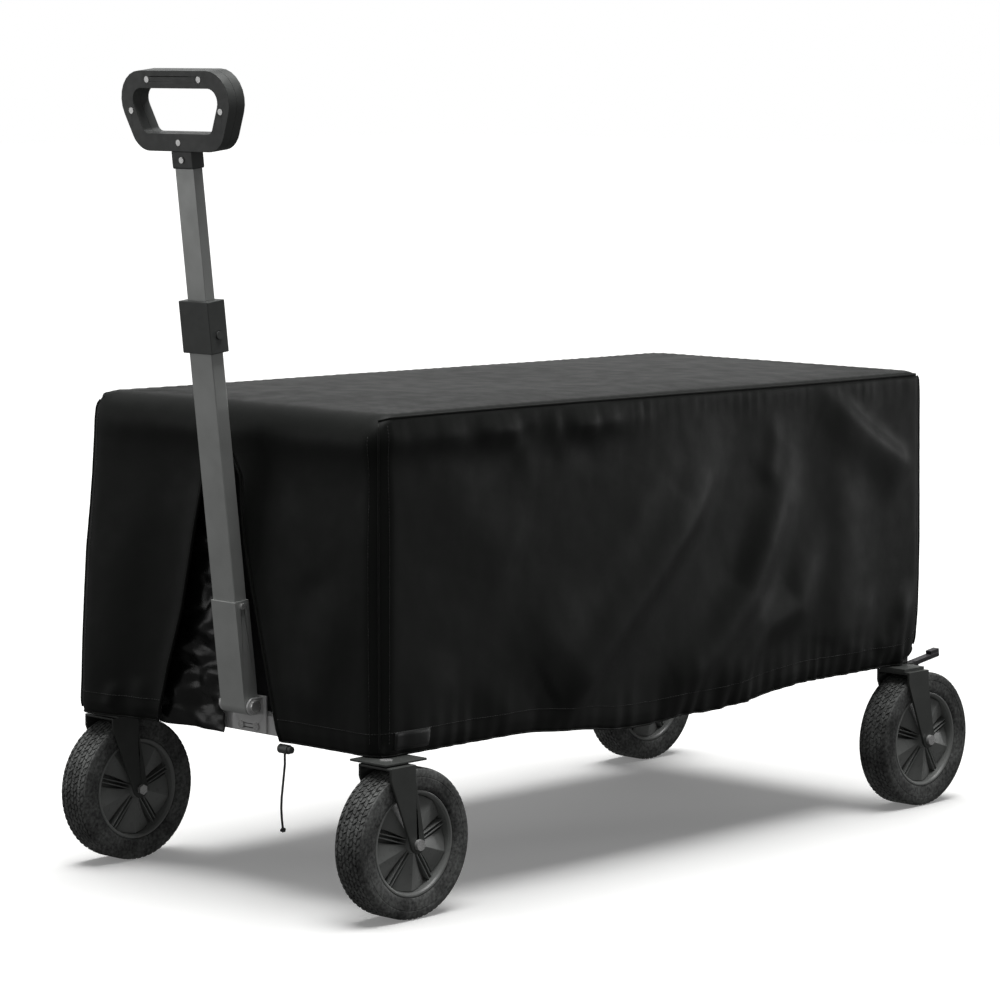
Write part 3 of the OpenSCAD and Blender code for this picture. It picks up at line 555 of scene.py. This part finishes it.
def fold_height(along, height, folds):
    """How far the folds lift the cloth, in metres, at arrays of points given in metres."""
    total = np.zeros(len(along))
    for path, lift, left_width, right_width in folds:
        path = np.array(path, float) * MM
        steps = np.linalg.norm(np.diff(path, axis=0), axis=1)
        run = np.concatenate([[0], np.cumsum(steps)])
        best = np.full(len(along), np.inf)
        side, share = np.zeros(len(along)), np.zeros(len(along))
        for i, (a, b) in enumerate(zip(path, path[1:])):
            d = b - a
            t = np.clip(((along - a[0]) * d[0] + (height - a[1]) * d[1]) / (d @ d), 0, 1)
            off = np.stack([along - a[0] - t * d[0], height - a[1] - t * d[1]], 1)
            far = np.linalg.norm(off, axis=1)
            closer = far < best
            best = np.where(closer, far, best)
            side = np.where(closer, d[0] * off[:, 1] - d[1] * off[:, 0], side)
            share = np.where(closer, (run[i] + t * steps[i]) / run[-1], share)
        width = np.where(side > 0, left_width, right_width) * MM
        ends = smooth_step(share / 0.4) * smooth_step((1 - share) / 0.2)
        total += lift * MM * ends * gauss(best, width)
    return total


def cover_points():
    """The cover's cloth as an array of columns and rows of points, and each column's outward normal."""
    columns = perimeter()
    count, rows = len(columns), WALL_ROWS + EDGE_ROWS + TOP_ROWS
    p = np.zeros((count, rows, 3))
    normal = np.array([(c[2], c[3], 0.0) for c in columns])
    edge = (EDGE_SIDE * normal[:, 0] ** 2
            + np.where(normal[:, 1] < 0, EDGE_FRONT, EDGE_REAR) * normal[:, 1] ** 2)
    straight_x = SIDE - CORNER
    for c, (x, y, nx, _, share) in enumerate(columns):
        along = (y - MIDDLE) / HALF_L
        droop = HEM_DROOP * smooth_step((LOOSE_SHARE - abs(along)) / 0.45) * nx**2
        rise = (REAR_HEM - HEM) * smooth_step((y - REAR + 0.05) / 0.05)
        hem = HEM - droop + rise
        for r in range(rows):
            inset = 0.0
            if r < WALL_ROWS:
                z = hem + (TOP - edge[c] - hem) * (r / (WALL_ROWS - 1))
            elif r < WALL_ROWS + EDGE_ROWS:
                a = math.pi / 2 * (r - WALL_ROWS + 1) / EDGE_ROWS
                inset = edge[c] * (1 - math.cos(a))
                z = TOP - edge[c] * (1 - math.sin(a))
            else:
                k = (r - WALL_ROWS - EDGE_ROWS + 1) / TOP_ROWS
                inset = edge[c] + (SIDE - edge[c]) * k
                z = TOP
            here = x
            if share is not None:
                height = min(z - HEM, SLIT_TOP)
                if c < FRONT_RIGHT:
                    low = slit_edge(SLIT_RIGHT, height)
                    here = low + (straight_x - low) * share
                else:
                    high = slit_edge(SLIT_LEFT, height)
                    here = -straight_x + (high + straight_x) * (share + 1)
            p[c, r] = (here * (SIDE - inset) / SIDE, MIDDLE + (y - MIDDLE) * (HALF_L - inset) / HALF_L, z)
    return p, normal


def wall_folds(flat, right, left, rear, front):
    """The long folds of the four walls."""
    x, y, z = flat.T
    return (right * fold_height(y, z, RIGHT_FOLDS) + left * fold_height(y, z, LEFT_FOLDS)
            + front * fold_height(x, z, FRONT_FOLDS) + rear * fold_height(x, z, REAR_FOLDS))


def wall_slack(flat, up, right, left):
    """Slack waves that lean with the folds, fine creases, and a fuller hang between the seam and the hem."""
    x, y, z = flat.T
    lean = np.stack([x + 0.55 * z, y - 0.75 * z, z * 0.4 + y * 0.3], 1)
    waves = 0.002 * cloud(lean, (5, 7, 3), 3.1, 2) * (0.4 + 0.6 * right + 0.6 * left)
    creases = 0.0004 * cloud(flat, (26, 26, 20), 8.7)
    return waves + creases + 0.003 * np.sin(np.pi * up) + 0.0015


def seam_puckers(flat):
    """Puckers where the top is sewn on, from -1 to 1."""
    x, y, z = flat.T
    below = np.clip(TOP - z, 0, 0.09)
    return np.sin((x + y) * 330 + 5 * cloud(flat, (9, 9, 0), 1.3, 2)) * gauss(below, 0.03)


def seam_overhang(flat, right, front):
    """Slack that hangs over under the seam: on the right side towards its front, and across the front."""
    x, y, z = flat.T
    slack = gauss(y + 0.22, 0.13) + 0.6 * gauss(y + 0.44, 0.06)
    lip = gauss(z - 0.586, 0.016) - 0.25 * gauss(z - 0.55, 0.018)
    over = gauss(z - 0.586, 0.02) - 0.5 * gauss(z - 0.53, 0.035)
    return (0.0075 * right * slack * lip * (0.7 + 1.7 * cloud(flat, (15, 15, 8), 2.2, 2))
            + 0.006 * front * over * smooth_step((x + 0.3) / 0.2))


def hem_gathers(flat, rise, right, left, rear, front):
    """Gathers of the drawn hem, whose cord pulls in its very edge. rise is the height above the hem."""
    x, y, _ = flat.T
    girth = x + y
    waves = np.sin(girth * 150 + 12 * cloud(flat, (6, 6, 0), 9.1, 2)) + 0.6 * np.sin(girth * 265 + 2.0)
    strength = 0.0009 + 0.0018 * (right + left) * smooth_step((y + 0.25) / 0.5) + 0.0014 * rear
    strength = strength * (0.5 + 1.6 * np.abs(cloud(flat, (7, 7, 0), 12.4, 2)))
    fade = np.exp(-((rise / 0.036) ** 1.5))
    return strength * waves * fade * (1 - 0.5 * front) - 0.003 * gauss(rise, 0.009)


def raise_top(flat, on_top, pucker):
    """The top stands up a little in its middle and towards its front end, and it ripples and puckers."""
    x, y, z = flat.T
    inner = (1 - (x / SIDE) ** 2) * (1 - ((y - MIDDLE) / HALF_L) ** 2)
    ripple = cloud(flat * (1, 1, 0), (5, 3, 0), 6.2, 3)
    flat[:, 2] += on_top * (0.005 * np.clip(inner * 1.6, 0, 1) + 0.0022 * ripple * np.clip(inner * 3, 0, 1))
    flat[:, 2] += 0.009 * smooth_step((REAR - y) / (2 * HALF_L)) * smooth_step((z - 0.5) / 0.11)
    flat[:, 2] += 0.0009 * on_top * pucker * np.clip(1 - inner * 4, 0, 1)


def loosen_front(flat, up, front, on_wall):
    """The front left corner stands away from the frame, most of all at the hem, and the slit's flaps curl."""
    reach = np.hypot(flat[:, 0] + SIDE, flat[:, 1] - FRONT)
    flat[:, :2] -= ((0.015 + 0.019 * (1 - up)) * gauss(reach, 0.095))[:, None]
    x, _, z = flat.T
    for outline, sign in ((SLIT_LEFT, 1), (SLIT_RIGHT, -1)):
        edge = slit_edge(outline, np.clip(z - HEM, 0, SLIT_TOP))
        near = gauss(x - edge, 0.016) * (sign * (edge - x) > -0.002)
        flat[:, 1] -= 0.004 * near * front * on_wall * smooth_step((0.6 - z) / 0.15)


def drape(p, normal):
    """Moves the cloth of cover_points, in place, to the shape that it hangs in."""
    flat = p.reshape(-1, 3)
    rows = p.shape[1]
    n = np.repeat(normal, rows, axis=0)
    row = np.tile(np.arange(rows), p.shape[0])
    right, left = np.clip(n[:, 0], 0, 1) ** 2, np.clip(-n[:, 0], 0, 1) ** 2
    rear, front = np.clip(n[:, 1], 0, 1) ** 2, np.clip(-n[:, 1], 0, 1) ** 2
    on_wall = smooth_step((WALL_ROWS + 5 - row) / 9)
    on_top = smooth_step((row - WALL_ROWS - 3) / 6)
    up = np.clip((flat[:, 2] - HEM) / (TOP - HEM), 0, 1)
    rise = flat[:, 2] - np.repeat(p[:, 0, 2], rows)
    pucker = seam_puckers(flat)
    out = wall_folds(flat, right, left, rear, front) + wall_slack(flat, up, right, left)
    out += 0.0007 * pucker * (0.2 + 1.6 * np.abs(cloud(flat, (13, 13, 0), 5.5, 2)))
    out += seam_overhang(flat, right, front) + hem_gathers(flat, rise, right, left, rear, front)
    # no further inwards than this, where the frame is
    out = np.maximum(out, -0.0025)
    flat[:, :2] += n[:, :2] * (out * on_wall)[:, None]
    # an uneven hem line where it hangs loose
    along = np.abs(flat[:, 1] - MIDDLE) / HALF_L
    loose = smooth_step((LOOSE_SHARE - along) / 0.3) * (right + left)
    flat[:, 2] += 0.0045 * cloud(flat, (8, 8, 0), 4.4, 2) * np.exp(-rise / 0.12) * loose
    raise_top(flat, on_top, pucker)
    loosen_front(flat, up, front, on_wall)


def make_cover():
    p, normal = cover_points()
    drape(p, normal)
    count, rows = p.shape[:2]
    cover = mesh_object("cover_cloth", [(p.reshape(-1, 3), grid_faces(count, rows))], "cover_cloth")
    tidy_mesh(cover, 0.0002)
    shell = cover.modifiers.new("cloth", "SOLIDIFY")
    shell.thickness, shell.offset, shell.use_rim = CLOTH, -1, True
    on_cover(cover, "cover_top", "cover_left", "cover_right", "cover_front", "cover_rear")
    return p, normal, cover


cover_p, cover_n, cover_cloth = make_cover()


def surface_path(columns, rows, lift):
    """Points on the cover's outside at pairs of a column and a row, lifted off the cloth."""
    return [cover_p[c, r] + cover_n[c] * lift for c, r in zip(columns, rows)]


def corner_seams():
    """A raised seam down the middle of each corner, and the stitches on either side of it."""
    seams, threads = [], []
    for c, (nx, ny, _) in enumerate(cover_n):
        if abs(abs(nx) - abs(ny)) > 0.05:
            continue
        path = surface_path([c] * (SEAM_ROW - 1), range(1, SEAM_ROW), 0.0004)
        seams.append(sweep(path, oval(0.0011, 0.0022, 6), up=(nx, ny, 0.01)))
        for beside in (c - 3, c + 3):
            threads += stitches(surface_path([beside] * (SEAM_ROW - 3), range(2, SEAM_ROW - 1), 0.0003))
    return seams, threads


def make_trim():
    """Piping along the top seam except in front, corner seams, stitching, slit binding and the hem's roll."""
    count = len(cover_p)
    every = range(count)
    behind = [c for c in every if cover_n[c][1] > -0.75]
    seam_line = surface_path(behind, [SEAM_ROW] * len(behind), 0.0006)
    seams, threads = corner_seams()
    threads += stitches(surface_path(every, [HEM_ROW] * count, 0.0003))
    slit_rows = int(SLIT_TOP / (TOP - EDGE_FRONT - HEM) * (WALL_ROWS - 1)) + 2
    slit_edges = [
        sweep(surface_path([c] * slit_rows, range(slit_rows), 0.0), oval(0.0024, 0.0015), up=(1, 0, 0))
        for c in (0, count - 1)
    ]
    hem_line = surface_path(every, [0] * count, -0.0006)
    pieces = [
        mesh_object("cover_piping", [sweep(seam_line, oval(0.0015, 0.0015))], "cover_cloth"),
        mesh_object("cover_corner_seams", seams, "cover_cloth"),
        mesh_object("cover_stitching", threads, "cover_cloth", material=THREAD),
        mesh_object("slit_binding", slit_edges, "cover_cloth"),
        mesh_object("hem_roll", [sweep(hem_line, oval(0.0015, 0.0015))], "cover_cloth"),
    ]
    for obj in pieces:
        on_cover(tidy_mesh(obj))
    return pieces


def make_drawstring():
    """The cord inside the hem."""
    count = len(cover_p)
    path = surface_path(range(count), [1] * count, -0.003)
    cord = mesh_object("hem_cord", [sweep(path, oval(0.0012, 0.0012, 6))], "cord")
    on_cover(tidy_mesh(cord), "drawstring")


def make_label():
    """A blank woven patch by the hem, near the front corner of the right side."""
    columns = [c for c in range(len(cover_p)) if cover_n[c][0] > 0.99 and -0.500 < cover_p[c, 0][1] < -0.432]
    rows = range(1, HEM_ROW + 1)
    points = [cover_p[c, r] + cover_n[c] * 0.0009 for c in columns for r in rows]
    label = mesh_object(
        "cover_label", [(points, grid_faces(len(columns), len(rows)))], "cover_cloth", material=LABEL)
    shell = label.modifiers.new("cloth", "SOLIDIFY")
    shell.thickness, shell.offset = 0.0008, -1
    return on_cover(label)


def make_gusset():
    """The loose piece of thin coated cloth behind the slit's left edge, crumpled."""
    low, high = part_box("slit_gusset")
    columns, rows = 46, 90
    points = []
    for c in range(columns):
        for r in range(rows):
            u, v = c / (columns - 1), r / (rows - 1)
            z = low.z - 0.004 + (high.z - low.z) * v
            left = slit_edge(SLIT_LEFT, max(z - HEM, 0)) - 0.022
            right = high.x - 0.004 * math.sin(v * 9) - 0.002 + 0.010 * v
            points.append((left + (right - left) * u, (low.y + high.y) / 2 + 0.0035, z))
    points = np.array(points)
    crush = cloud(points, (17, 0, 38), 2.7, 2)
    crease = 1 - 3.2 * np.abs(cloud(points, (10, 0, 26), 7.9, 1))
    points[:, 1] += np.clip(0.0075 * crush + 0.0042 * crease - 0.0012, -0.0085, 0.0075)
    points[:, 0] += 0.003 * cloud(points, (20, 0, 25), 4.2, 2)
    gusset = mesh_object("gusset_cloth", [(points, grid_faces(columns, rows))], "gusset_cloth")
    shell = gusset.modifiers.new("cloth", "SOLIDIFY")
    shell.thickness, shell.offset = 0.0006, 0
    on_cover(gusset, "slit_gusset")
    return gusset


trim = make_trim()
make_drawstring()
label_patch = make_label()
gusset_cloth = make_gusset()

# ---------- wheels ----------

TREAD_ROWS, TREAD_BLOCKS = 7, 64
ROW_WIDTH, BLOCK_LEAN, BLOCK_CUT, BLOCK_DEPTH = 6.35 * MM, 2.4 * MM, 1.5 * MM, 2.4 * MM
# Half of the carcass's section from the tread's middle to the rim, in mm: (offset, height above the radius)
CARCASS = [
    (0, -1.5), (18, -1.5), (21.8, -1.7), (23.2, -2.6), (24, -4.6), (24, -11), (23.7, -11.4), (23.7, -12),
    (24, -12.4), (23.9, -22), (23.4, -24.5), (22.4, -26.6),
]
# Half of the section of a rim of RIM_RADIUS, in mm: (offset, radius)
RIM_RADIUS = 67
RIM = [(9, 60.4), (19, 61.6), (21.6, 63.6), (21.8, 66), (21, 66.8)]
# Half of the boss's section: (share of the tyre's half width, radius in mm)
BOSS = [(0.7, 13), (0.94, 12), (1, 10.5), (1, 5.3)]
# The web between boss and rim, in mm: half its thickness, and its radii
WEB, WEB_IN, WEB_OUT = 4, 10, 61
PETALS, PETAL_IN, PETAL_OUT = 5, 11.5 * MM, 60.8 * MM


def tread_radius(x, radius, half):
    """The tyre's outer radius at an offset x from its middle."""
    shoulder = [0, half - 5 * MM, half - 2 * MM, half]
    return float(np.interp(abs(x), shoulder, [0, 0, -1 * MM, -4 * MM])) + radius


def mirrored(section):
    """A whole section from its half: (-x, r) points first, then the half as it is."""
    return [(-x, r) for x, r in section[::-1] if x > 0] + section


def tread_block(outline, turn, centre, radius, half):
    """A block of tread with a bevelled top: its outline is (x, arc length) pairs in metres."""
    points = []
    middle = np.mean(outline, axis=0)
    for shrink, drop in ((1.0, -BLOCK_DEPTH), (1.0, -0.4 * MM), (0.9, 0.0)):
        for x, arc in outline:
            x = middle[0] + (x - middle[0]) * shrink
            arc = middle[1] + (arc - middle[1]) * shrink
            r = tread_radius(x, radius, half) + drop
            a = turn + arc / radius
            points.append((centre[0] + x, centre[1] + r * math.cos(a), centre[2] + r * math.sin(a)))
    count = len(outline)
    faces = [tuple(range(2 * count, 3 * count))]
    for level in range(2):
        for k in range(count):
            faces.append((level * count + k, level * count + (k + 1) % count,
                          (level + 1) * count + (k + 1) % count, (level + 1) * count + k))
    faces.append(tuple(range(count))[::-1])
    return points, faces


def tyre_parts(centre, radius, half, rim):
    """A carcass with square shoulders and flat sidewalls, and rows of small blocks laid in a zigzag."""
    profile = [(x * MM, radius + d * MM) for x, d in CARCASS] + [(21.4 * MM, rim + 0.2 * MM)]
    parts = [lathe(mirrored(profile), centre, 128)]
    pitch = 2 * math.pi * radius / TREAD_BLOCKS
    for row in range(TREAD_ROWS):
        middle = (row - (TREAD_ROWS - 1) / 2) * ROW_WIDTH
        lean = (1 if row % 2 else -1) * BLOCK_LEAN
        for k in range(TREAD_BLOCKS):
            tall = pitch - rng.uniform(1.5, 2.3) * MM
            wide = ROW_WIDTH - rng.uniform(0.9, 1.5) * MM
            turn = 2 * math.pi * (k + (row % 3) / 3 + rng.uniform(-0.03, 0.03)) / TREAD_BLOCKS
            x0, x1 = middle - wide / 2, middle + wide / 2
            shape = [
                (x0, -lean / 2 + BLOCK_CUT), (x0 + BLOCK_CUT, -lean / 2), (x1, lean / 2),
                (x1, lean / 2 + tall - BLOCK_CUT), (x1 - BLOCK_CUT, lean / 2 + tall), (x0, -lean / 2 + tall),
            ]
            parts.append(tread_block(shape, turn, centre, radius, half))
    return parts


def petal(centre, turn, sign, inner, outer):
    """A wedge whose facets meet on its middle line, standing on the hub's web."""
    spread_in, spread_out = math.radians(21), math.radians(28)
    points = []
    steps = 6
    for k in range(steps + 1):
        t = k / steps
        r = inner + (outer - inner) * t
        spread = spread_in + (spread_out - spread_in) * t
        crest = 19.5 - 3.0 * t
        edge = 18.0 - 9.0 * t
        flank = [(-spread, WEB - 1), (-spread, edge), (-spread * 0.5, (edge + crest) / 2)]
        section = flank + [(0, crest)] + [(-a, x) for a, x in flank[::-1]]
        for angle, x in section:
            y, z = r * math.cos(turn + angle), r * math.sin(turn + angle)
            points.append((centre[0] + sign * x * MM, centre[1] + y, centre[2] + z))
    m = len(section)
    faces = [
        (i * m + k, i * m + (k + 1) % m, (i + 1) * m + (k + 1) % m, (i + 1) * m + k)
        for i in range(steps)
        for k in range(m)
    ]
    faces += [tuple(range(m)), tuple(steps * m + k for k in range(m))]
    return points, faces


def bar(centre, turn, sign, inner, outer, shift, width, low, high):
    """A thin radial rib beside the line at angle turn."""
    ahead = np.array([0, math.cos(turn), math.sin(turn)])
    beside = np.array([0, -math.sin(turn), math.cos(turn)])
    points = [
        np.array(centre) + ahead * r + beside * (shift + w) + np.array([sign * x, 0, 0])
        for r, top in ((inner, high), (outer, high * 0.72))
        for w, x in ((-width / 2, low), (-width / 2, top), (width / 2, top), (width / 2, low))
    ]
    return points, [(0, 1, 2, 3), (7, 6, 5, 4), (0, 4, 5, 1), (1, 5, 6, 2), (2, 6, 7, 3), (3, 7, 4, 0)]


def hub_parts(centre, rim, half):
    """Rim, web and boss, five petals on each face, and a pair of thin ribs in each gap between them."""
    parts = [
        lathe([(x * MM, r / RIM_RADIUS * rim) for x, r in mirrored(RIM)], centre, 128),
        lathe([(x * MM, r * MM) for x, r in mirrored([(WEB, WEB_OUT), (WEB, WEB_IN)])], centre, 64),
        lathe([(x * half, r * MM) for x, r in mirrored(BOSS)], centre, 48),
    ]
    for k in range(PETALS):
        turn = math.radians(-90 + 360 / PETALS * k)
        gap = turn + math.pi / PETALS
        for sign in (1, -1):
            parts.append(petal(centre, turn, sign, PETAL_IN, PETAL_OUT))
            for shift in (-0.0026, 0.0026):
                parts.append(bar(centre, gap, sign, 0.012, PETAL_OUT, shift, 0.0016, 0.003, 0.019))
    return parts


def make_wheel(place, body):
    tyre, hub = f"tyre_{place}", f"hub_{place}"
    low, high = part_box(tyre)
    centre = (low + high) / 2
    half, radius = (high.x - low.x) / 2, (high.z - low.z) / 2
    hub_low, hub_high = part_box(hub)
    rim = (hub_high.z - hub_low.z) / 2
    tread = mesh_object(f"tread_{place}", tyre_parts(centre, radius, half, rim), "tyre_rubber", smooth=False)
    tidy_mesh(tread)
    smooth_by_angle(tread, 28)
    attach(tread, body)
    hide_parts(tyre)
    disc = mesh_object(f"petals_{place}", hub_parts(centre, rim, half), "hub_plastic", smooth=False)
    tidy_mesh(disc)
    bevelled(disc, 0.0006, 2, 20)
    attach(disc, body)
    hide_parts(hub)


for end in ("front", "rear"):
    for hand in ("left", "right"):
        make_wheel(f"{end}_{hand}", f"wheel_{end}_{hand}")

# ---------- basket and floor ----------

# How much of the basket's length each end wall takes, in metres, at the outer end of its CAD piece
END_WALL = 0.003


def cloth_panel(name, low, high, thin, pleat, body, node, lift=0.0012):
    """A cloth wall in the place of a flat CAD solid: thin is the axis it is thin along."""
    axes = [k for k in range(3) if k != thin]
    size = [high[k] - low[k] for k in axes]
    counts = [max(int(s / 0.012), 2) for s in size]
    points = []
    for i in range(counts[0] + 1):
        for j in range(counts[1] + 1):
            u, v = i / counts[0], j / counts[1]
            p = [0.0, 0.0, 0.0]
            p[axes[0]], p[axes[1]] = low[axes[0]] + size[0] * u, low[axes[1]] + size[1] * v
            slack = math.sin(math.pi * u) * math.sin(math.pi * v)
            wave = pleat * slack * math.sin(u * size[0] * 95 + 2.5 * noise.noise(Vector(p) * 6))
            p[thin] = (low[thin] + high[thin]) / 2 + wave + lift * slack * noise.noise(Vector(p) * 14)
            points.append(p)
    panel = mesh_object(name, [(points, grid_faces(counts[0] + 1, counts[1] + 1))], "basket_cloth")
    shell = panel.modifiers.new("cloth", "SOLIDIFY")
    shell.thickness, shell.offset = 0.0014, 0
    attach(panel, body)
    if node:
        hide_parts(node)
    return panel


def make_basket():
    """Four cloth walls with a bound rim, and the ledge that each end wall has over the cross tube."""
    for hand in ("left", "right"):
        low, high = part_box(f"basket_side_{hand}")
        wall = cloth_panel(f"basket_wall_{hand}", low, high, 0, 0.001, "front_frame", f"basket_side_{hand}")
        rim = [(low.x + (high.x - low.x) / 2, y, high.z - 0.004) for y in np.linspace(low.y, high.y, 60)]
        binding = mesh_object(f"basket_binding_{hand}", [sweep(rim, oval(0.0026, 0.005))], "basket_cloth")
        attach(tidy_mesh(binding), "front_frame")
        for piece in (wall, binding):
            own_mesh(piece)
    for end, body in (("front", "front_frame"), ("rear", "rear_frame")):
        low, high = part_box(f"basket_{end}")
        wall_y = low.y if end == "front" else high.y - END_WALL
        wall = cloth_panel(
            f"basket_wall_{end}", Vector((low.x, wall_y, low.z)), Vector((high.x, wall_y + END_WALL, high.z)),
            1, 0.001, body, f"basket_{end}")
        rim = [(x, wall_y + END_WALL / 2, high.z - 0.004) for x in np.linspace(low.x, high.x, 40)]
        binding = mesh_object(f"basket_binding_{end}", [sweep(rim, oval(0.0013, 0.005))], "basket_cloth")
        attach(tidy_mesh(binding), body)
        ledge = cloth_panel(
            f"basket_ledge_{end}", Vector((low.x + 0.004, low.y + 0.002, low.z + 0.001)),
            Vector((high.x - 0.004, high.y - 0.002, low.z + 0.003)), 2, 0.0, body, None, 0.0006)


def make_mat(end, body):
    """A floor board in a sewn cloth case, with channels across it and a bound edge."""
    low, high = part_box(f"{end}_mat")
    columns, rows = 90, 84
    channels, edge_width, seam_width = 4, 0.008, 0.008
    size = high - low
    points = []
    for side in (1, -1):
        for i in range(columns):
            for j in range(rows):
                u, v = i / (columns - 1), j / (rows - 1)
                edge = min(min(u, 1 - u) * size.x / edge_width, min(v, 1 - v) * size.y / edge_width, 1.0)
                off_seam = 1 - abs((v * channels) % 1 - 0.5) * 2
                seam = 1 - 0.45 * math.exp(-((off_seam * size.y / channels / seam_width) ** 2))
                round_edge = 0.35 + 0.65 * math.sqrt(max(1 - (1 - edge) ** 2, 0))
                z = (low.z + high.z) / 2 + side * size.z / 2 * round_edge * seam
                points.append((low.x + size.x * u, low.y + size.y * v, z))
    top = grid_faces(columns, rows)
    half = columns * rows
    faces = top + [tuple(half + k for k in reversed(f)) for f in top]
    # the outline of the grid, once round, joins the upper side to the lower one
    ring = [c * rows for c in range(columns)] + [(columns - 1) * rows + r for r in range(1, rows)]
    ring += [c * rows + rows - 1 for c in reversed(range(columns - 1))]
    ring += list(reversed(range(1, rows - 1)))
    faces += [(a, half + a, half + b, b) for a, b in zip(ring, ring[1:] + ring[:1])]
    mat = tidy_mesh(mesh_object(f"floor_mat_{end}", [(points, faces)], "basket_cloth"), 1e-6)
    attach(mat, body)
    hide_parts(f"{end}_mat")


make_basket()
make_mat("front", "front_floor")
make_mat("rear", "rear_floor")

# ---------- finishes of the CAD pieces ----------

# The CAD pieces of each material slot, and the radius of their edges in metres
FINISHES = {
    "frame_paint": (0.0016, [
        "front_posts", "front_hinge_arms", "front_floor_frame", "rear_floor_frame", "rear_posts",
        "rear_cross_tubes", "rear_hinge_arms"]),
    "bracket_steel": (0.0012, ["front_cross_tubes", "handle_bracket"]),
    "bright_steel": (0.0007, [
        "kingpins", "handle_bolts", "front_hinge_pins", "centre_hinge_pins", "rear_hinge_pins",
        "front_axle_left", "front_axle_right", "rear_axles", "snap_button", "grip_screws"]),
    "black_plastic": (0.005, [
        "front_corner_mouldings", "rear_corner_mouldings", "grip_neck", "grip_front_shell",
        "grip_rear_shell", "release_button", "cord_lock", "cord_lock_plunger"]),
    "fork_paint": (0.0018, ["front_fork_left", "front_fork_right", "rear_forks", "front_caster_plates"]),
    "pedal_plastic": (0.0012, ["brake_pedal_left", "brake_pedal_right"]),
    "pole_paint": (0.0022, ["pole_outer", "pole_inner", "handle_socket"]),
    "sleeve_plastic": (0.0025, ["pole_sleeve"]),
}
# Pieces of a slot whose edges are sharper than the others'
SMALL_EDGES = {
    "handle_socket": 0.0005, "grip_neck": 0.002, "release_button": 0.0008, "front_corner_mouldings": 0.002,
    "rear_corner_mouldings": 0.002, "front_caster_plates": 0.0008, "cord_lock": 0.0006,
    "cord_lock_plunger": 0.0006}


def finish_cad():
    for slot, (radius, names) in FINISHES.items():
        for name in names:
            obj = nodes[name]
            obj.data.materials.clear()
            obj.data.materials.append(MATERIALS[slot])
            bevelled(obj, SMALL_EDGES.get(name, radius), 3)


finish_cad()

# ---------- studio ----------


def make_floor():
    """A pale paper floor that glows a little, so that it meets the white background."""
    bpy.ops.mesh.primitive_plane_add(size=60)
    floor = bpy.context.object
    floor.name = "floor"
    pale = Nodes("floor_paper")
    pale.colour(pale.noise(3, 2), (0.9, 0.9, 0.89), (0.93, 0.93, 0.92))
    pale.set(roughness=0.95, specular_ior_level=0.0, emission_color=(1, 1, 1, 1), emission_strength=0.17)
    floor.data.materials.append(pale.material)
    floor.visible_diffuse = False
    floor.visible_glossy = False


def make_world():
    """A background that the camera sees as white, and that lights the object only faintly."""
    world = bpy.data.worlds.new("studio")
    world.use_nodes = True
    tree = world.node_tree
    dim = tree.nodes["Background"]
    dim.inputs["Color"].default_value = (1, 1, 1, 1)
    dim.inputs["Strength"].default_value = 0.1
    white = tree.nodes.new("ShaderNodeBackground")
    white.inputs["Color"].default_value = (1, 1, 1, 1)
    white.inputs["Strength"].default_value = 1.0
    mix = tree.nodes.new("ShaderNodeMixShader")
    seen = tree.nodes.new("ShaderNodeLightPath")
    tree.links.new(seen.outputs["Is Camera Ray"], mix.inputs["Fac"])
    tree.links.new(dim.outputs["Background"], mix.inputs[1])
    tree.links.new(white.outputs["Background"], mix.inputs[2])
    tree.links.new(mix.outputs["Shader"], tree.nodes["World Output"].inputs["Surface"])
    bpy.context.scene.world = world


def add_light(kind, name, power, place, target, **settings):
    """A light that shines from a place towards a target. settings are values of the light itself."""
    data = bpy.data.lights.new(name, kind)
    data.energy = power
    for key, value in settings.items():
        setattr(data, key, value)
    lamp = bpy.data.objects.new(name, data)
    lamp.location = place
    lamp.rotation_mode = "QUATERNION"
    lamp.rotation_quaternion = (Vector(place) - Vector(target)).to_track_quat("Z", "Y")
    bpy.context.scene.collection.objects.link(lamp)


def make_studio():
    bpy.context.scene.view_settings.view_transform = "Standard"
    make_floor()
    make_world()
    add_light("SUN", "sky", 3.4, (0, 0.05, 1), (0, 0, 0), angle=math.radians(48))
    add_light("AREA", "backdrop", 30, (-3.4, 3.4, 1.5), (0, 0, 0.6), size=3.8)
    add_light("AREA", "front_left", 9, (-2.6, -2.6, 1.1), (0, -0.4, 0.7), size=2.0)
    add_light("SPOT", "rear_rake", 42, (1.05, 2.1, 0.62), (0.25, -0.05, 0.32),
              spot_size=math.radians(20), spot_blend=0.6, shadow_soft_size=0.3)


make_studio()
